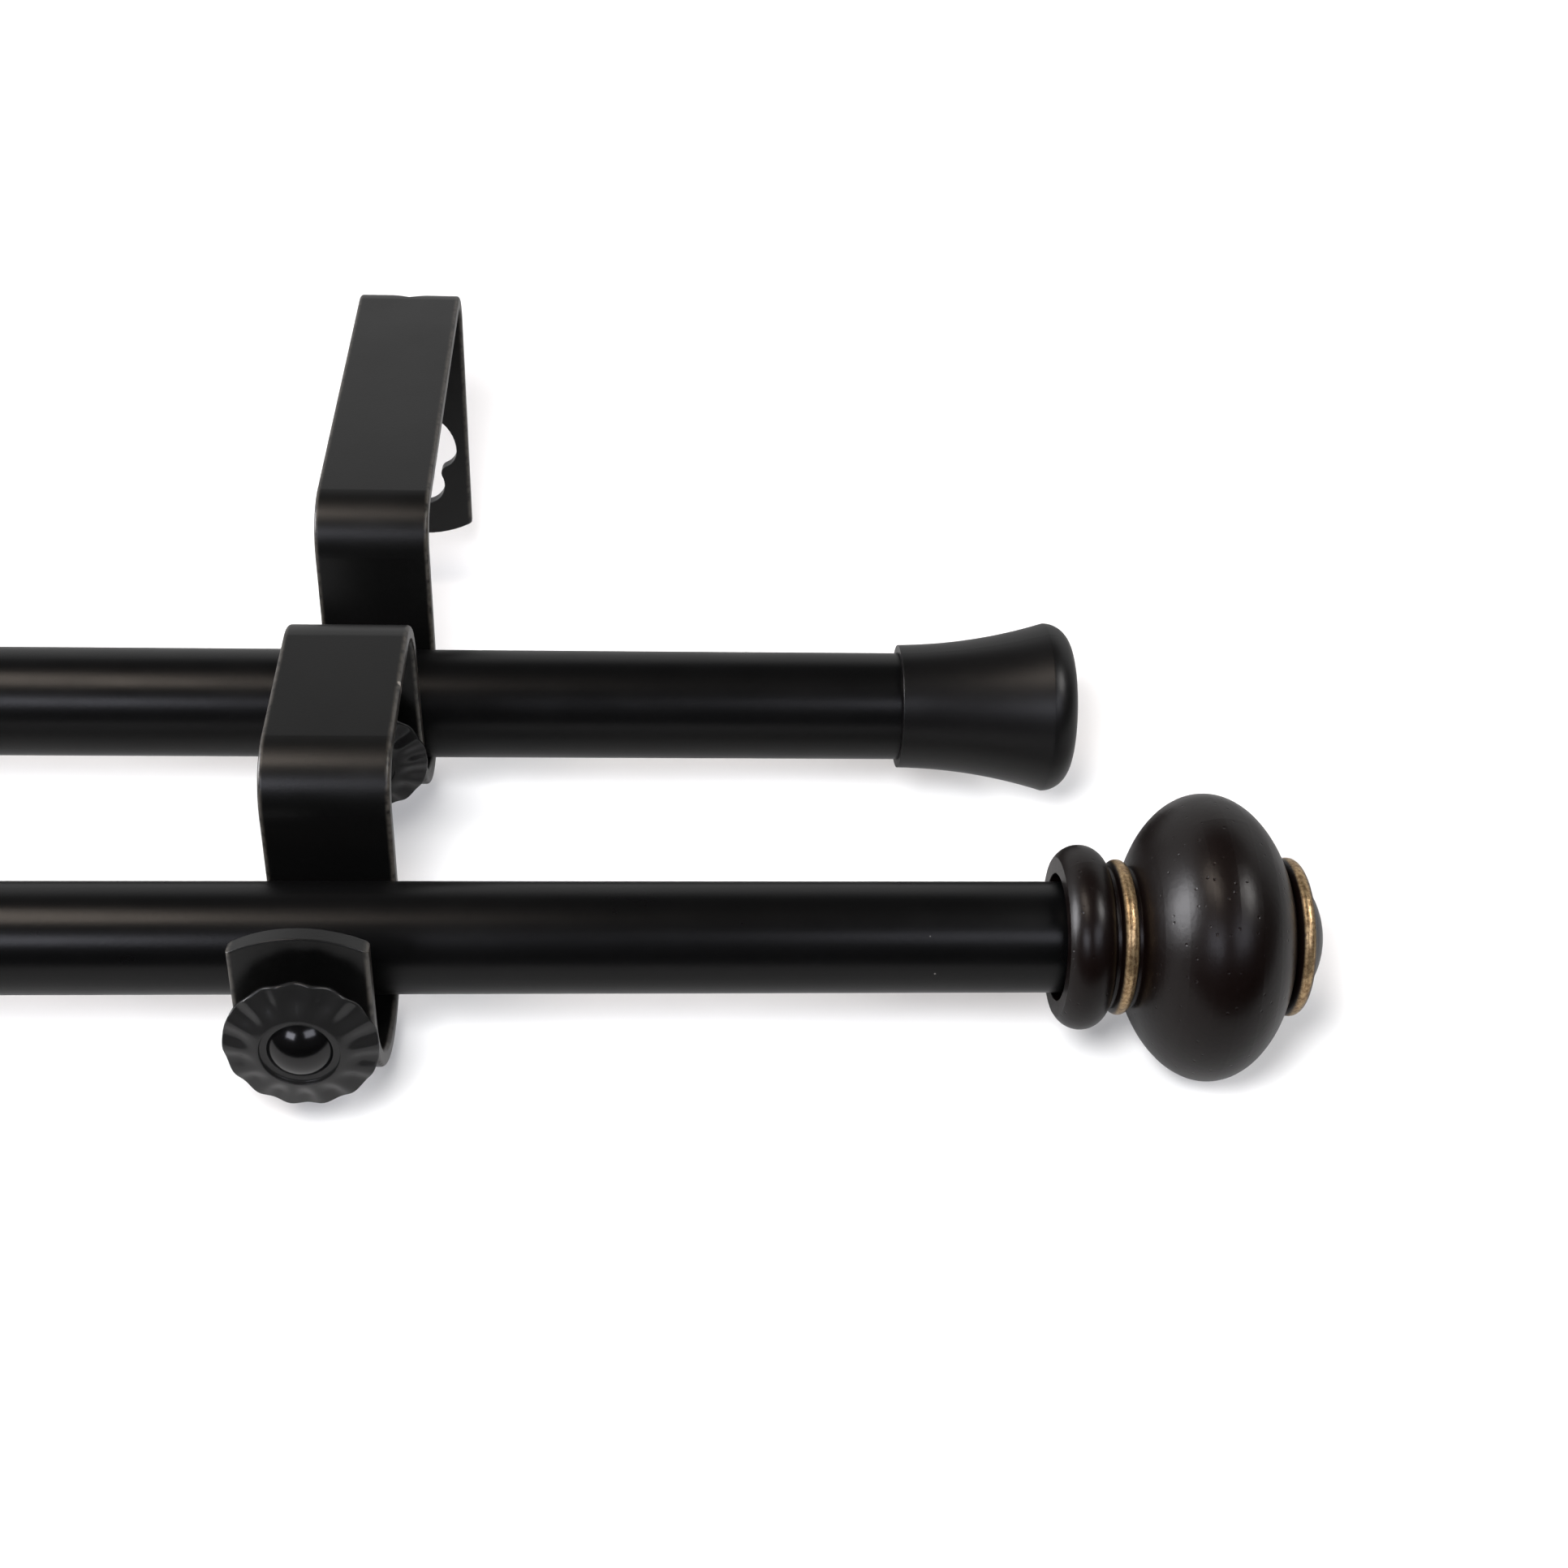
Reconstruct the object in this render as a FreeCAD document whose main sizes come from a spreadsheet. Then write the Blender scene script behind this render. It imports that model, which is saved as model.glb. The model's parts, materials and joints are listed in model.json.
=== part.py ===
# Double curtain pole: two telescoping poles on a pair of folded strap brackets.
# Millimetres. X runs along the poles, +Y points to the wall and +Z is up.
# The origin lies on the wall, midway between the brackets, level with the axes of both poles.
import FreeCAD, Part
import math
import os
import re
import Sketcher
from FreeCAD import Placement, Rotation, Vector

doc = FreeCAD.newDocument("double_curtain_pole")

# Driving sizes: name, value, what it is.
SIZES = [
    ("strap_width", 21.3, "width of the bracket strap"),
    ("strap_thickness", 2.8, "thickness of the bracket strap"),
    ("strap_edge", 0.7, "rounding along the strap's long edges"),
    ("bracket_spacing", 471.0, "between the centres of the two brackets"),
    ("back_reach", 100.9, "wall to the axis of the back pole"),
    ("front_reach", 174.0, "wall to the axis of the front pole"),
    ("arm_slope", 7.6, "degrees that both arms rise towards the wall"),
    ("plate_drop", 13.2, "foot of the wall plate below the pole axes"),
    ("plate_fold_height", 38.8, "centre of the fold above the wall plate, over the pole axes"),
    ("plate_fold_radius", 5.3, "that fold, at mid thickness"),
    ("bend_radius", 8.8, "wide bend from arm to leg, at mid thickness"),
    ("back_cradle_radius", 11.9, "inside of the cradle under the back pole"),
    ("front_cradle_radius", 15.1, "inside of the cradle under the front pole"),
    ("flange_lean", 8.0, "degrees that the back cradle's flange leans to the front"),
    ("arm_fold_height", 20.9, "centre of the fold between flange and front arm, over the pole axes"),
    ("arm_fold_radius", 7.9, "that fold, at mid thickness"),
    ("lip_height", 17.0, "top of the front cradle's lip over the pole axes"),
    ("end_arch_radius", 22.0, "rounding of the strap's two cut ends"),
    ("keyhole_half_width", 8.0, "half the width of the keyhole's head, at its widest"),
    ("keyhole_height", 7.7, "that widest place over the pole axes"),
    ("keyhole_crown_radius", 6.0, "top of the keyhole's head"),
    ("keyhole_side_radius", 9.3, "head's sides over the widest place"),
    ("keyhole_cheek_radius", 4.4, "head's sides below the widest place"),
    ("keyhole_neck_radius", 1.8, "rounding between head and foot"),
    ("keyhole_foot_radius", 4.9, "round foot of the keyhole"),
    ("keyhole_foot_drop", 8.5, "centre of the foot below the head's widest place"),
    ("dart_width", 10.5, "width of the stiffening dart pressed across the plate fold"),
    ("dart_depth", 1.5, "depth of that dart"),
    ("tube_radius", 10.3, "outside of the wide tubes"),
    ("tube_wall", 0.8, "wall of all tubes"),
    ("slip_gap", 0.3, "radial room between a wide tube and the slim tube in it"),
    ("seat_gap", 0.3, "room between a pole and what it lies against"),
    ("push_gap", 0.05, "radial room of a pushed-in or screwed-in piece"),
    ("wide_tube_length", 500.0, "length of the two wide tubes"),
    ("slim_tube_length", 430.0, "length of the two slim tubes"),
    ("finial_overhang", 120.0, "bracket centre to the face of the finial's collar"),
    ("finial_socket_depth", 6.0, "recess in the collar that takes the pole's end"),
    ("collar_face_radius", 13.2, "flat face of the collar"),
    ("collar_radius", 15.3, "collar at its fullest"),
    ("collar_length", 8.0, "length of the collar"),
    ("groove_radius", 11.7, "grooves beside the bead"),
    ("groove_length", 0.6, "length of each groove"),
    ("bead_radius", 12.9, "bead between collar and ball"),
    ("bead_length", 2.9, "length of the bead"),
    ("ball_radius", 23.9, "ball at its fullest"),
    ("ball_half_length", 14.5, "half length of the whole ball"),
    ("ball_centre", 24.7, "collar face to the centre of the ball"),
    ("ring_radius", 13.2, "ring round the finial's button"),
    ("ring_length", 3.0, "length of that ring"),
    ("ring_start", 37.4, "collar face to the ring"),
    ("button_radius", 10.3, "button at the finial's end"),
    ("button_height", 4.0, "height of the button's dome"),
    ("stud_radius", 3.0, "stud that screws the finial to the pole's plug"),
    ("stud_in_finial", 14.0, "stud's length in the finial"),
    ("stud_in_plug", 10.0, "stud's length in the plug"),
    ("plug_head", 1.7, "thickness of the plug's head"),
    ("plug_length", 14.0, "length of the plug in the tube"),
    ("cap_overhang", 100.4, "bracket centre to the rim of the end cap"),
    ("cap_rim_radius", 11.9, "end cap at its rim"),
    ("cap_waist", 15.0, "rim to the middle of the flare"),
    ("cap_waist_radius", 13.2, "end cap at the middle of the flare"),
    ("cap_flare", 28.2, "rim to the widest place"),
    ("cap_flare_radius", 16.3, "end cap at its widest"),
    ("cap_edge", 5.0, "rounding at the end cap's end"),
    ("cap_dome", 1.2, "crown of the end cap's end face"),
    ("cap_socket_depth", 18.0, "socket of the end cap"),
    ("disc_radius", 11.8, "thumb disc"),
    ("disc_rim", 1.2, "thickness of the disc at its rim"),
    ("disc_crown", 1.7, "rise of the disc's cone from the rim to its dish"),
    ("disc_hub_radius", 6.6, "hub behind the disc"),
    ("disc_hub_length", 1.4, "length of that hub"),
    ("disc_dish_radius", 6.1, "dish round the screw's head"),
    ("disc_dish_depth", 0.7, "depth of that dish"),
    ("flute_count", 14, "flutes round the disc"),
    ("flute_radius", 1.5, "radius of a flute's hollow"),
    ("flute_depth", 0.6, "depth of a flute"),
    ("screw_radius", 2.4, "shank of the thumbscrews"),
    ("screw_head_radius", 5.0, "domed head of the thumbscrews"),
    ("screw_head_height", 2.4, "height of that head"),
    ("front_shank", 14.9, "shank in front of the disc's back, front screws"),
    ("back_shank", 7.2, "shank in front of the disc's back, back screws"),
    ("screw_tip", 0.4, "chamfer at the shank's tip"),
    ("back_screw_rise", 0.9, "back screw over the pole axes, where it crosses the flange"),
    ("cut_margin", 2.0, "how far a cutting shape runs past the strap"),
]

sheet = doc.addObject("Spreadsheet::Sheet", "Sizes")
for row, (alias, amount, meaning) in enumerate(SIZES, start=1):
    sheet.set(f"A{row}", meaning)
    sheet.set(f"B{row}", str(amount))
    sheet.setAlias(f"B{row}", alias)
doc.recompute()
NAMES = {alias for alias, amount, meaning in SIZES}


def size(alias):
    """The number in one cell of the sheet."""
    return float(sheet.get(alias))


def bound(text):
    """An expression with each size named as the sheet's cell."""
    return re.sub(r"[a-z_]+", lambda m: "Sizes." + m.group() if m.group() in NAMES else m.group(), text)


def number(text):
    """What an expression of sizes comes to."""
    return float(sheet.evalExpression(bound(text)))


# Sizes that follow from others, as expressions of the sheet's cells.
SLIM_RADIUS = "(tube_radius - tube_wall - slip_gap)"
HALF_THICK = "(strap_thickness / 2)"
BACK_LEG = "(back_reach - tube_radius - seat_gap - strap_thickness / 2)"
FRONT_LEG = "(front_reach - tube_radius - seat_gap - strap_thickness / 2)"
BACK_CRADLE = "(back_cradle_radius + strap_thickness / 2)"
FRONT_CRADLE = "(front_cradle_radius + strap_thickness / 2)"
FRONT_LIP = f"({FRONT_LEG} + 2 * {FRONT_CRADLE})"
TUBE_IN_FINIAL = "(finial_socket_depth - plug_head - seat_gap)"
TUBE_IN_CAP = "(cap_socket_depth - seat_gap)"


def new_body(label):
    body = doc.addObject("PartDesign::Body", label)
    body.Label = label
    return body


def origin_plane(body, role):
    return next(item for item in body.Origin.OriginFeatures if item.Role == role)


def new_sketch(body, name, role, offset=None):
    """A sketch on one of the body's own origin planes, moved by an offset in that plane's frame."""
    sketch = body.newObject("Sketcher::SketchObject", name)
    sketch.AttachmentSupport = [(origin_plane(body, role), "")]
    sketch.MapMode = "FlatFace"
    if offset is not None:
        sketch.AttachmentOffset = offset
    return sketch


def dimension(sketch, kind, where, text):
    """A dimension of a sketch, bound to an expression of sizes."""
    index = sketch.addConstraint(Sketcher.Constraint(kind, *where, number(text)))
    sketch.setExpression(f"Constraints[{index}]", bound(text))


def pin_point(sketch, where, across, up):
    """Ties a point of a sketch to the sketch's origin by two expressions."""
    dimension(sketch, "DistanceX", (-1, 1) + where, across)
    dimension(sketch, "DistanceY", (-1, 1) + where, up)


def arc_through(start, middle, end):
    """An arc of a sketch through three points, counter-clockwise as a sketch keeps it."""
    circle = Part.Arc(start, middle, end).toShape().Curve
    angles = [math.atan2(point.y - circle.Center.y, point.x - circle.Center.x) for point in (start, end)]
    if (middle - start).cross(end - start).z < 0:
        angles.reverse()
    return Part.ArcOfCircle(Part.Circle(circle.Center, Vector(0, 0, 1), circle.Radius), *angles)


def outline(sketch, corners, arcs=None):
    """A closed outline through corners given as expressions.

    arcs maps a side's number to a point on that side and, where a size sets it, its radius.
    """
    arcs = arcs or {}
    points = [Vector(number(across), number(up), 0) for across, up in corners]
    ends = []
    for side, start in enumerate(points):
        end = points[(side + 1) % len(points)]
        if side in arcs:
            curve = arc_through(start, Vector(number(arcs[side][0]), number(arcs[side][1]), 0), end)
        else:
            curve = Part.LineSegment(start, end)
        sketch.addGeometry(curve, False)
        ends.append((1, 2) if (curve.StartPoint - start).Length < (curve.EndPoint - start).Length else (2, 1))
    for side, corner in enumerate(corners):
        before = (side - 1) % len(points)
        sketch.addConstraint(Sketcher.Constraint("Coincident", before, ends[before][1], side, ends[side][0]))
        pin_point(sketch, (side, ends[side][0]), *corner)
        if side in arcs and len(arcs[side]) == 3:
            dimension(sketch, "Radius", (side,), arcs[side][2])
    return sketch


def revolve(body, sketch, axis="H_Axis"):
    turned = body.newObject("PartDesign::Revolution", sketch.Name + "_turned")
    turned.Profile = sketch
    turned.ReferenceAxis = (sketch, [axis])
    turned.Angle = 360
    return turned


def pocket(body, sketch, depth, reverse=False, both=False):
    """A cut from a sketch; it must take something away."""
    doc.recompute()
    before = body.Shape.Volume
    cut = body.newObject("PartDesign::Pocket", sketch.Name + "_cut")
    cut.Profile = sketch
    cut.setExpression("Length", bound(depth))
    cut.Reversed = reverse
    cut.Midplane = both
    doc.recompute()
    if body.Shape.Volume >= before:
        raise RuntimeError(sketch.Name + " cuts nothing")
    return cut


def place(body, across, depth, up="0", turn=None):
    """Puts a body at a place given by expressions, turned first if asked."""
    base = Vector(number(across), number(depth), number(up))
    body.Placement = Placement(base, turn or Rotation())
    body.setExpression("Placement.Base.x", bound(across))
    body.setExpression("Placement.Base.y", bound(depth))
    body.setExpression("Placement.Base.z", bound(up))


FACING_BACK = Rotation(Vector(0, 0, 1), 180)


def strap_path(body):
    """The strap's middle line in the YZ plane, from the wall plate's foot to the lip's top."""
    sketch = new_sketch(body, body.Label + "_path", "YZ_Plane")
    slope = math.radians(size("arm_slope"))
    lean = math.radians(size("flange_lean"))
    fold = size("plate_fold_radius")
    bend = size("bend_radius")
    small_fold = size("arm_fold_radius")
    back_cradle = number(BACK_CRADLE)
    front_cradle = number(FRONT_CRADLE)
    back_leg = -number(BACK_LEG)
    front_leg = -number(FRONT_LEG)
    right = math.pi / 2

    def around(centre, radius, angle):
        return centre + Vector(math.cos(angle), math.sin(angle), 0) * radius

    def bend_centre(fold_centre, fold_radius, leg):
        """Centre of a wide bend whose arm is tangent to a fold."""
        inward = Vector(math.sin(slope), -math.cos(slope), 0)
        start = fold_centre + inward * (bend - fold_radius)
        run = (start.x - (leg + bend)) / math.cos(slope)
        return start - Vector(math.cos(slope), math.sin(slope), 0) * run

    plate_fold = Vector(-number(HALF_THICK) - fold, size("plate_fold_height"), 0)
    back_bend = bend_centre(plate_fold, fold, back_leg)
    back_round = Vector(back_leg - back_cradle, 0, 0)
    flange_out = Vector(-math.cos(lean), -math.sin(lean), 0)
    flange_up = Vector(-math.sin(lean), math.cos(lean), 0)
    flange_foot = back_round + flange_out * back_cradle
    fold_foot = flange_foot + flange_out * small_fold
    arm_fold = fold_foot + flange_up * ((size("arm_fold_height") - fold_foot.y) / math.cos(lean))
    front_bend = bend_centre(arm_fold, small_fold, front_leg)
    front_round = Vector(front_leg - front_cradle, 0, 0)
    lip = front_leg - 2 * front_cradle

    def line(start, end):
        sketch.addGeometry(Part.LineSegment(start, end), False)

    def arc(centre, radius, first, last):
        circle = Part.Circle(centre, Vector(0, 0, 1), radius)
        sketch.addGeometry(Part.ArcOfCircle(circle, first, last), False)

    line(Vector(-number(HALF_THICK), -size("plate_drop"), 0), around(plate_fold, fold, 0))
    arc(plate_fold, fold, 0, right + slope)
    line(around(back_bend, bend, right + slope), around(plate_fold, fold, right + slope))
    arc(back_bend, bend, right + slope, 2 * right)
    line(around(back_bend, bend, 2 * right), Vector(back_leg, 0, 0))
    arc(back_round, back_cradle, -(2 * right - lean), 0)
    line(flange_foot, around(arm_fold, small_fold, lean))
    arc(arm_fold, small_fold, lean, right + slope)
    line(around(front_bend, bend, right + slope), around(arm_fold, small_fold, right + slope))
    arc(front_bend, bend, right + slope, 2 * right)
    line(around(front_bend, bend, 2 * right), Vector(front_leg, 0, 0))
    arc(front_round, front_cradle, -2 * right, 0)
    line(Vector(lip, 0, 0), Vector(lip, size("lip_height"), 0))

    # Each entry: a piece of the path and its end, then the next piece and its end.
    joins = [
        (0, 2, 1, 1), (1, 2, 2, 2), (2, 1, 3, 1), (3, 2, 4, 1), (4, 2, 5, 2), (5, 1, 6, 1),
        (6, 2, 7, 1), (7, 2, 8, 2), (8, 1, 9, 1), (9, 2, 10, 1), (10, 2, 11, 2), (11, 1, 12, 1),
    ]
    for join in joins:
        sketch.addConstraint(Sketcher.Constraint("Tangent", *join))
    for upright in (0, 4, 10, 12):
        sketch.addConstraint(Sketcher.Constraint("Vertical", upright))
    for round_part, radius in ((1, "plate_fold_radius"), (3, "bend_radius"), (5, BACK_CRADLE),
                               (7, "arm_fold_radius"), (9, "bend_radius"), (11, FRONT_CRADLE)):
        dimension(sketch, "Radius", (round_part,), radius)
    for sloped, degrees in ((2, "arm_slope"), (8, "arm_slope"), (6, "(90 + flange_lean)")):
        index = sketch.addConstraint(Sketcher.Constraint("Angle", sloped, math.radians(number(degrees))))
        sketch.setExpression(f"Constraints[{index}]", bound(degrees) + " * 1 deg")
    dimension(sketch, "DistanceX", (0, 1, -1, 1), HALF_THICK)
    dimension(sketch, "DistanceY", (0, 1, -1, 1), "plate_drop")
    dimension(sketch, "DistanceY", (-1, 1, 1, 3), "plate_fold_height")
    dimension(sketch, "DistanceX", (4, 1, -1, 1), BACK_LEG)
    dimension(sketch, "DistanceY", (-1, 1, 7, 3), "arm_fold_height")
    dimension(sketch, "DistanceX", (10, 1, -1, 1), FRONT_LEG)
    dimension(sketch, "DistanceY", (-1, 1, 12, 2), "lip_height")
    for centre in (5, 11):
        sketch.addConstraint(Sketcher.Constraint("PointOnObject", centre, 3, -1))
    return sketch


def strap_section(body):
    """The strap's section with rounded edges, at the wall plate's foot."""
    offset = Placement(Vector(0, 0, -size("plate_drop")), Rotation())
    sketch = new_sketch(body, body.Label + "_section", "XY_Plane", offset)
    sketch.setExpression("AttachmentOffset.Base.z", bound("-plate_drop"))
    wide = "(strap_width / 2)"
    inset = "(strap_width / 2 - strap_edge)"
    near = "(-strap_thickness)"
    corner = "strap_edge * (1 - sqrt(0.5))"
    corners = [
        (f"-{inset}", near), (inset, near), (wide, f"{near} + strap_edge"), (wide, "-strap_edge"),
        (inset, "0"), (f"-{inset}", "0"), (f"-{wide}", "-strap_edge"), (f"-{wide}", f"{near} + strap_edge"),
    ]
    arcs = {
        1: (f"{wide} - {corner}", f"{near} + {corner}", "strap_edge"),
        3: (f"{wide} - {corner}", f"-{corner}", "strap_edge"),
        5: (f"-{wide} + {corner}", f"-{corner}", "strap_edge"),
        7: (f"-{wide} + {corner}", f"{near} + {corner}", "strap_edge"),
    }
    return outline(sketch, corners, arcs)


def arch_cut(body, name, face, rise, upward):
    """Trims a cut end of the strap to an arch whose crown stays at its full length."""
    offset = Placement(Vector(0, 0, number(face)), Rotation())
    sketch = new_sketch(body, body.Label + name, "XZ_Plane", offset)
    sketch.setExpression("AttachmentOffset.Base.z", bound(face))
    sign = "" if upward else "-"
    half = "(strap_width / 2 + cut_margin)"
    shoulder = f"{sign}({rise} - end_arch_radius + sqrt(end_arch_radius^2 - {half}^2))"
    outer = f"{sign}({rise} + cut_margin)"
    crown = f"{sign}({rise})"
    corners = [(f"-{half}", shoulder), (half, shoulder), (half, outer), (f"-{half}", outer)]
    outline(sketch, corners, {0: ("0", crown, "end_arch_radius")})
    pocket(body, sketch, "(strap_thickness + 2 * cut_margin)", reverse=True)


def keyhole_cut(body):
    """The keyhole in the wall plate: an egg-shaped head and a smaller round foot with a rounded neck."""
    offset = Placement(Vector(0, 0, -size("cut_margin")), Rotation())
    sketch = new_sketch(body, body.Label + "_keyhole", "XZ_Plane", offset)
    sketch.setExpression("AttachmentOffset.Base.z", bound("-cut_margin"))
    wide = size("keyhole_half_width")
    crown = size("keyhole_crown_radius")
    side = size("keyhole_side_radius")
    cheek = size("keyhole_cheek_radius")
    neck = size("keyhole_neck_radius")
    foot = size("keyhole_foot_radius")
    rise = ("sqrt((keyhole_side_radius - keyhole_crown_radius)^2"
            " - (keyhole_side_radius - keyhole_half_width)^2)")
    side_centre = Vector(wide - side, 0, 0)
    cheek_centre = Vector(wide - cheek, 0, 0)
    crown_centre = Vector(0, number(rise), 0)
    foot_centre = Vector(0, -size("keyhole_foot_drop"), 0)
    span = cheek_centre - foot_centre
    along = ((foot + neck) ** 2 - (cheek + neck) ** 2 + span.Length ** 2) / (2 * span.Length)
    upward = Vector(span).normalize()
    outward = Vector(upward.y, -upward.x, 0)
    neck_centre = foot_centre + upward * along + outward * math.sqrt((foot + neck) ** 2 - along ** 2)

    def beyond(centre, toward, radius):
        """The point of a circle in the direction of another point."""
        return centre + (toward - centre).normalize() * radius

    widest = Vector(wide, 0, 0)
    shoulder = beyond(side_centre, crown_centre, side)
    cheek_end = beyond(cheek_centre, neck_centre, cheek)
    foot_end = beyond(foot_centre, neck_centre, foot)
    right = [
        (foot_end, beyond(neck_centre, (foot_end + cheek_end) / 2, neck), cheek_end),
        (cheek_end, beyond(cheek_centre, (cheek_end + widest) / 2, cheek), widest),
        (widest, beyond(side_centre, (widest + shoulder) / 2, side), shoulder),
    ]
    crossing = [
        (shoulder, crown_centre + Vector(0, crown, 0), Vector(-shoulder.x, shoulder.y, 0)),
        (Vector(-foot_end.x, foot_end.y, 0), foot_centre - Vector(0, foot, 0), foot_end),
    ]
    left = [tuple(Vector(-point.x, point.y, 0) for point in reversed(arc)) for arc in reversed(right)]
    lift = Vector(0, size("keyhole_height"), 0)
    for first, middle, last in right + [crossing[0]] + left + [crossing[1]]:
        sketch.addGeometry(arc_through(first + lift, middle + lift, last + lift), False)
    names = ["neck", "cheek", "side", "crown", "side", "cheek", "neck", "foot"]
    for arc, name in enumerate(names):
        dimension(sketch, "Radius", (arc,), f"keyhole_{name}_radius")
    pin_point(sketch, (3, 3), "0", f"keyhole_height + {rise}")
    pin_point(sketch, (7, 3), "0", "keyhole_height - keyhole_foot_drop")
    pocket(body, sketch, "(strap_thickness + 2 * cut_margin)", reverse=True)


def tap_hole(body, name, point, lean):
    """A hole through the strap for a thumbscrew, along an axis that leans with its flange."""
    doc.recompute()
    before = body.Shape.Volume
    hole = body.newObject("PartDesign::SubtractiveCylinder", body.Label + name)
    hole.setExpression("Radius", bound("screw_radius + push_gap"))
    hole.setExpression("Height", bound("strap_thickness + 2 * cut_margin"))
    axis = Vector(0, math.cos(lean), math.sin(lean))
    start = point - axis * (size("strap_thickness") / 2 + size("cut_margin"))
    hole.AttachmentSupport = [(origin_plane(body, "XY_Plane"), "")]
    hole.MapMode = "FlatFace"
    hole.AttachmentOffset = Placement(start, Rotation(Vector(0, 0, 1), axis))
    doc.recompute()
    if body.Shape.Volume >= before:
        raise RuntimeError(name + " cuts nothing")


def back_screw_axis():
    """Where the back thumbscrew crosses the flange's middle, as (Y, Z), and the axis's lean."""
    lean = math.radians(size("flange_lean"))
    cradle = number(BACK_CRADLE)
    centre = -number(BACK_LEG) - cradle
    rise = size("back_screw_rise")
    foot = -math.sin(lean) * cradle
    across = centre - math.cos(lean) * cradle - math.tan(lean) * (rise - foot)
    return across, rise, lean


def front_screw_axis():
    """Where the front thumbscrew crosses the lip's middle, as (Y, Z), and the axis's lean."""
    return -number(FRONT_LIP), 0.0, 0.0


def dart(body):
    """A stiffening dart: a V groove pressed into the outside of the fold over the wall plate."""
    slope = size("arm_slope")
    fold = size("plate_fold_radius")
    middle = Vector(0, -number(HALF_THICK) - fold, size("plate_fold_height"))
    half_turn = math.radians((90 + slope) / 2)
    outward = Vector(0, math.cos(half_turn), math.sin(half_turn))
    turn = Rotation(Vector(1, 0, 0), outward, Vector(0, 0, 0), "XYZ")
    groove = new_sketch(body, body.Label + "_dart", "XY_Plane", Placement(middle, turn))
    half = "(dart_width / 2)"
    surface = "(plate_fold_radius + strap_thickness / 2)"
    flank = "(cut_margin * dart_width / (2 * dart_depth))"
    outline(groove, [
        ("0", f"{surface} - dart_depth"),
        (f"{half} + {flank}", f"{surface} + cut_margin"),
        (f"-{half} - {flank}", f"{surface} + cut_margin"),
    ])
    pocket(body, groove, "(4 * plate_fold_radius + 4 * strap_thickness)", both=True)


def bracket(label, across):
    body = new_body(label)
    path = strap_path(body)
    section = strap_section(body)
    doc.recompute()
    strap = body.newObject("PartDesign::AdditivePipe", label + "_strap")
    strap.Profile = section
    strap.Spine = path
    strap.Mode = "Binormal"
    strap.Binormal = Vector(1, 0, 0)
    doc.recompute()
    arch_cut(body, "_foot_arch", "-cut_margin", "plate_drop", upward=False)
    arch_cut(body, "_lip_arch", f"{FRONT_LIP} - strap_thickness / 2 - cut_margin", "lip_height", upward=True)
    keyhole_cut(body)
    for name, (depth, rise, lean) in (("_back_tap", back_screw_axis()), ("_front_tap", front_screw_axis())):
        tap_hole(body, name, Vector(0, depth, rise), lean)
    dart(body)
    place(body, across, "0")
    return body


def tube(label, radius, length, start, reach):
    """A plain round tube along X from its start."""
    body = new_body(label)
    sketch = new_sketch(body, label + "_section", "YZ_Plane")
    for ring in (radius, f"({radius} - tube_wall)"):
        index = sketch.addGeometry(Part.Circle(Vector(), Vector(0, 0, 1), number(ring)), False)
        sketch.addConstraint(Sketcher.Constraint("Coincident", index, 3, -1, 1))
        dimension(sketch, "Radius", (index,), ring)
    wall = body.newObject("PartDesign::Pad", label + "_wall")
    wall.Profile = sketch
    wall.setExpression("Length", bound(length))
    place(body, start, f"-{reach}")
    return body


def turned(label, corners, arcs=None):
    """A piece turned about its own X axis from a half outline of (along, radius) corners."""
    body = new_body(label)
    sketch = new_sketch(body, label + "_half", "XZ_Plane")
    outline(sketch, corners, arcs)
    revolve(body, sketch)
    return body


def crown_middle(base, rim, height):
    """A point halfway in radius on the round crown over a rim."""
    radius = f"(({rim}^2 + {height}^2) / (2 * {height}))"
    return f"{base} + {height} - {radius} + sqrt({radius}^2 - {rim}^2 / 4)", f"{rim} / 2"


# The ball's outline is an oval, drawn as this many arcs that follow each other smoothly.
BALL_ARCS = 8


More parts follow.
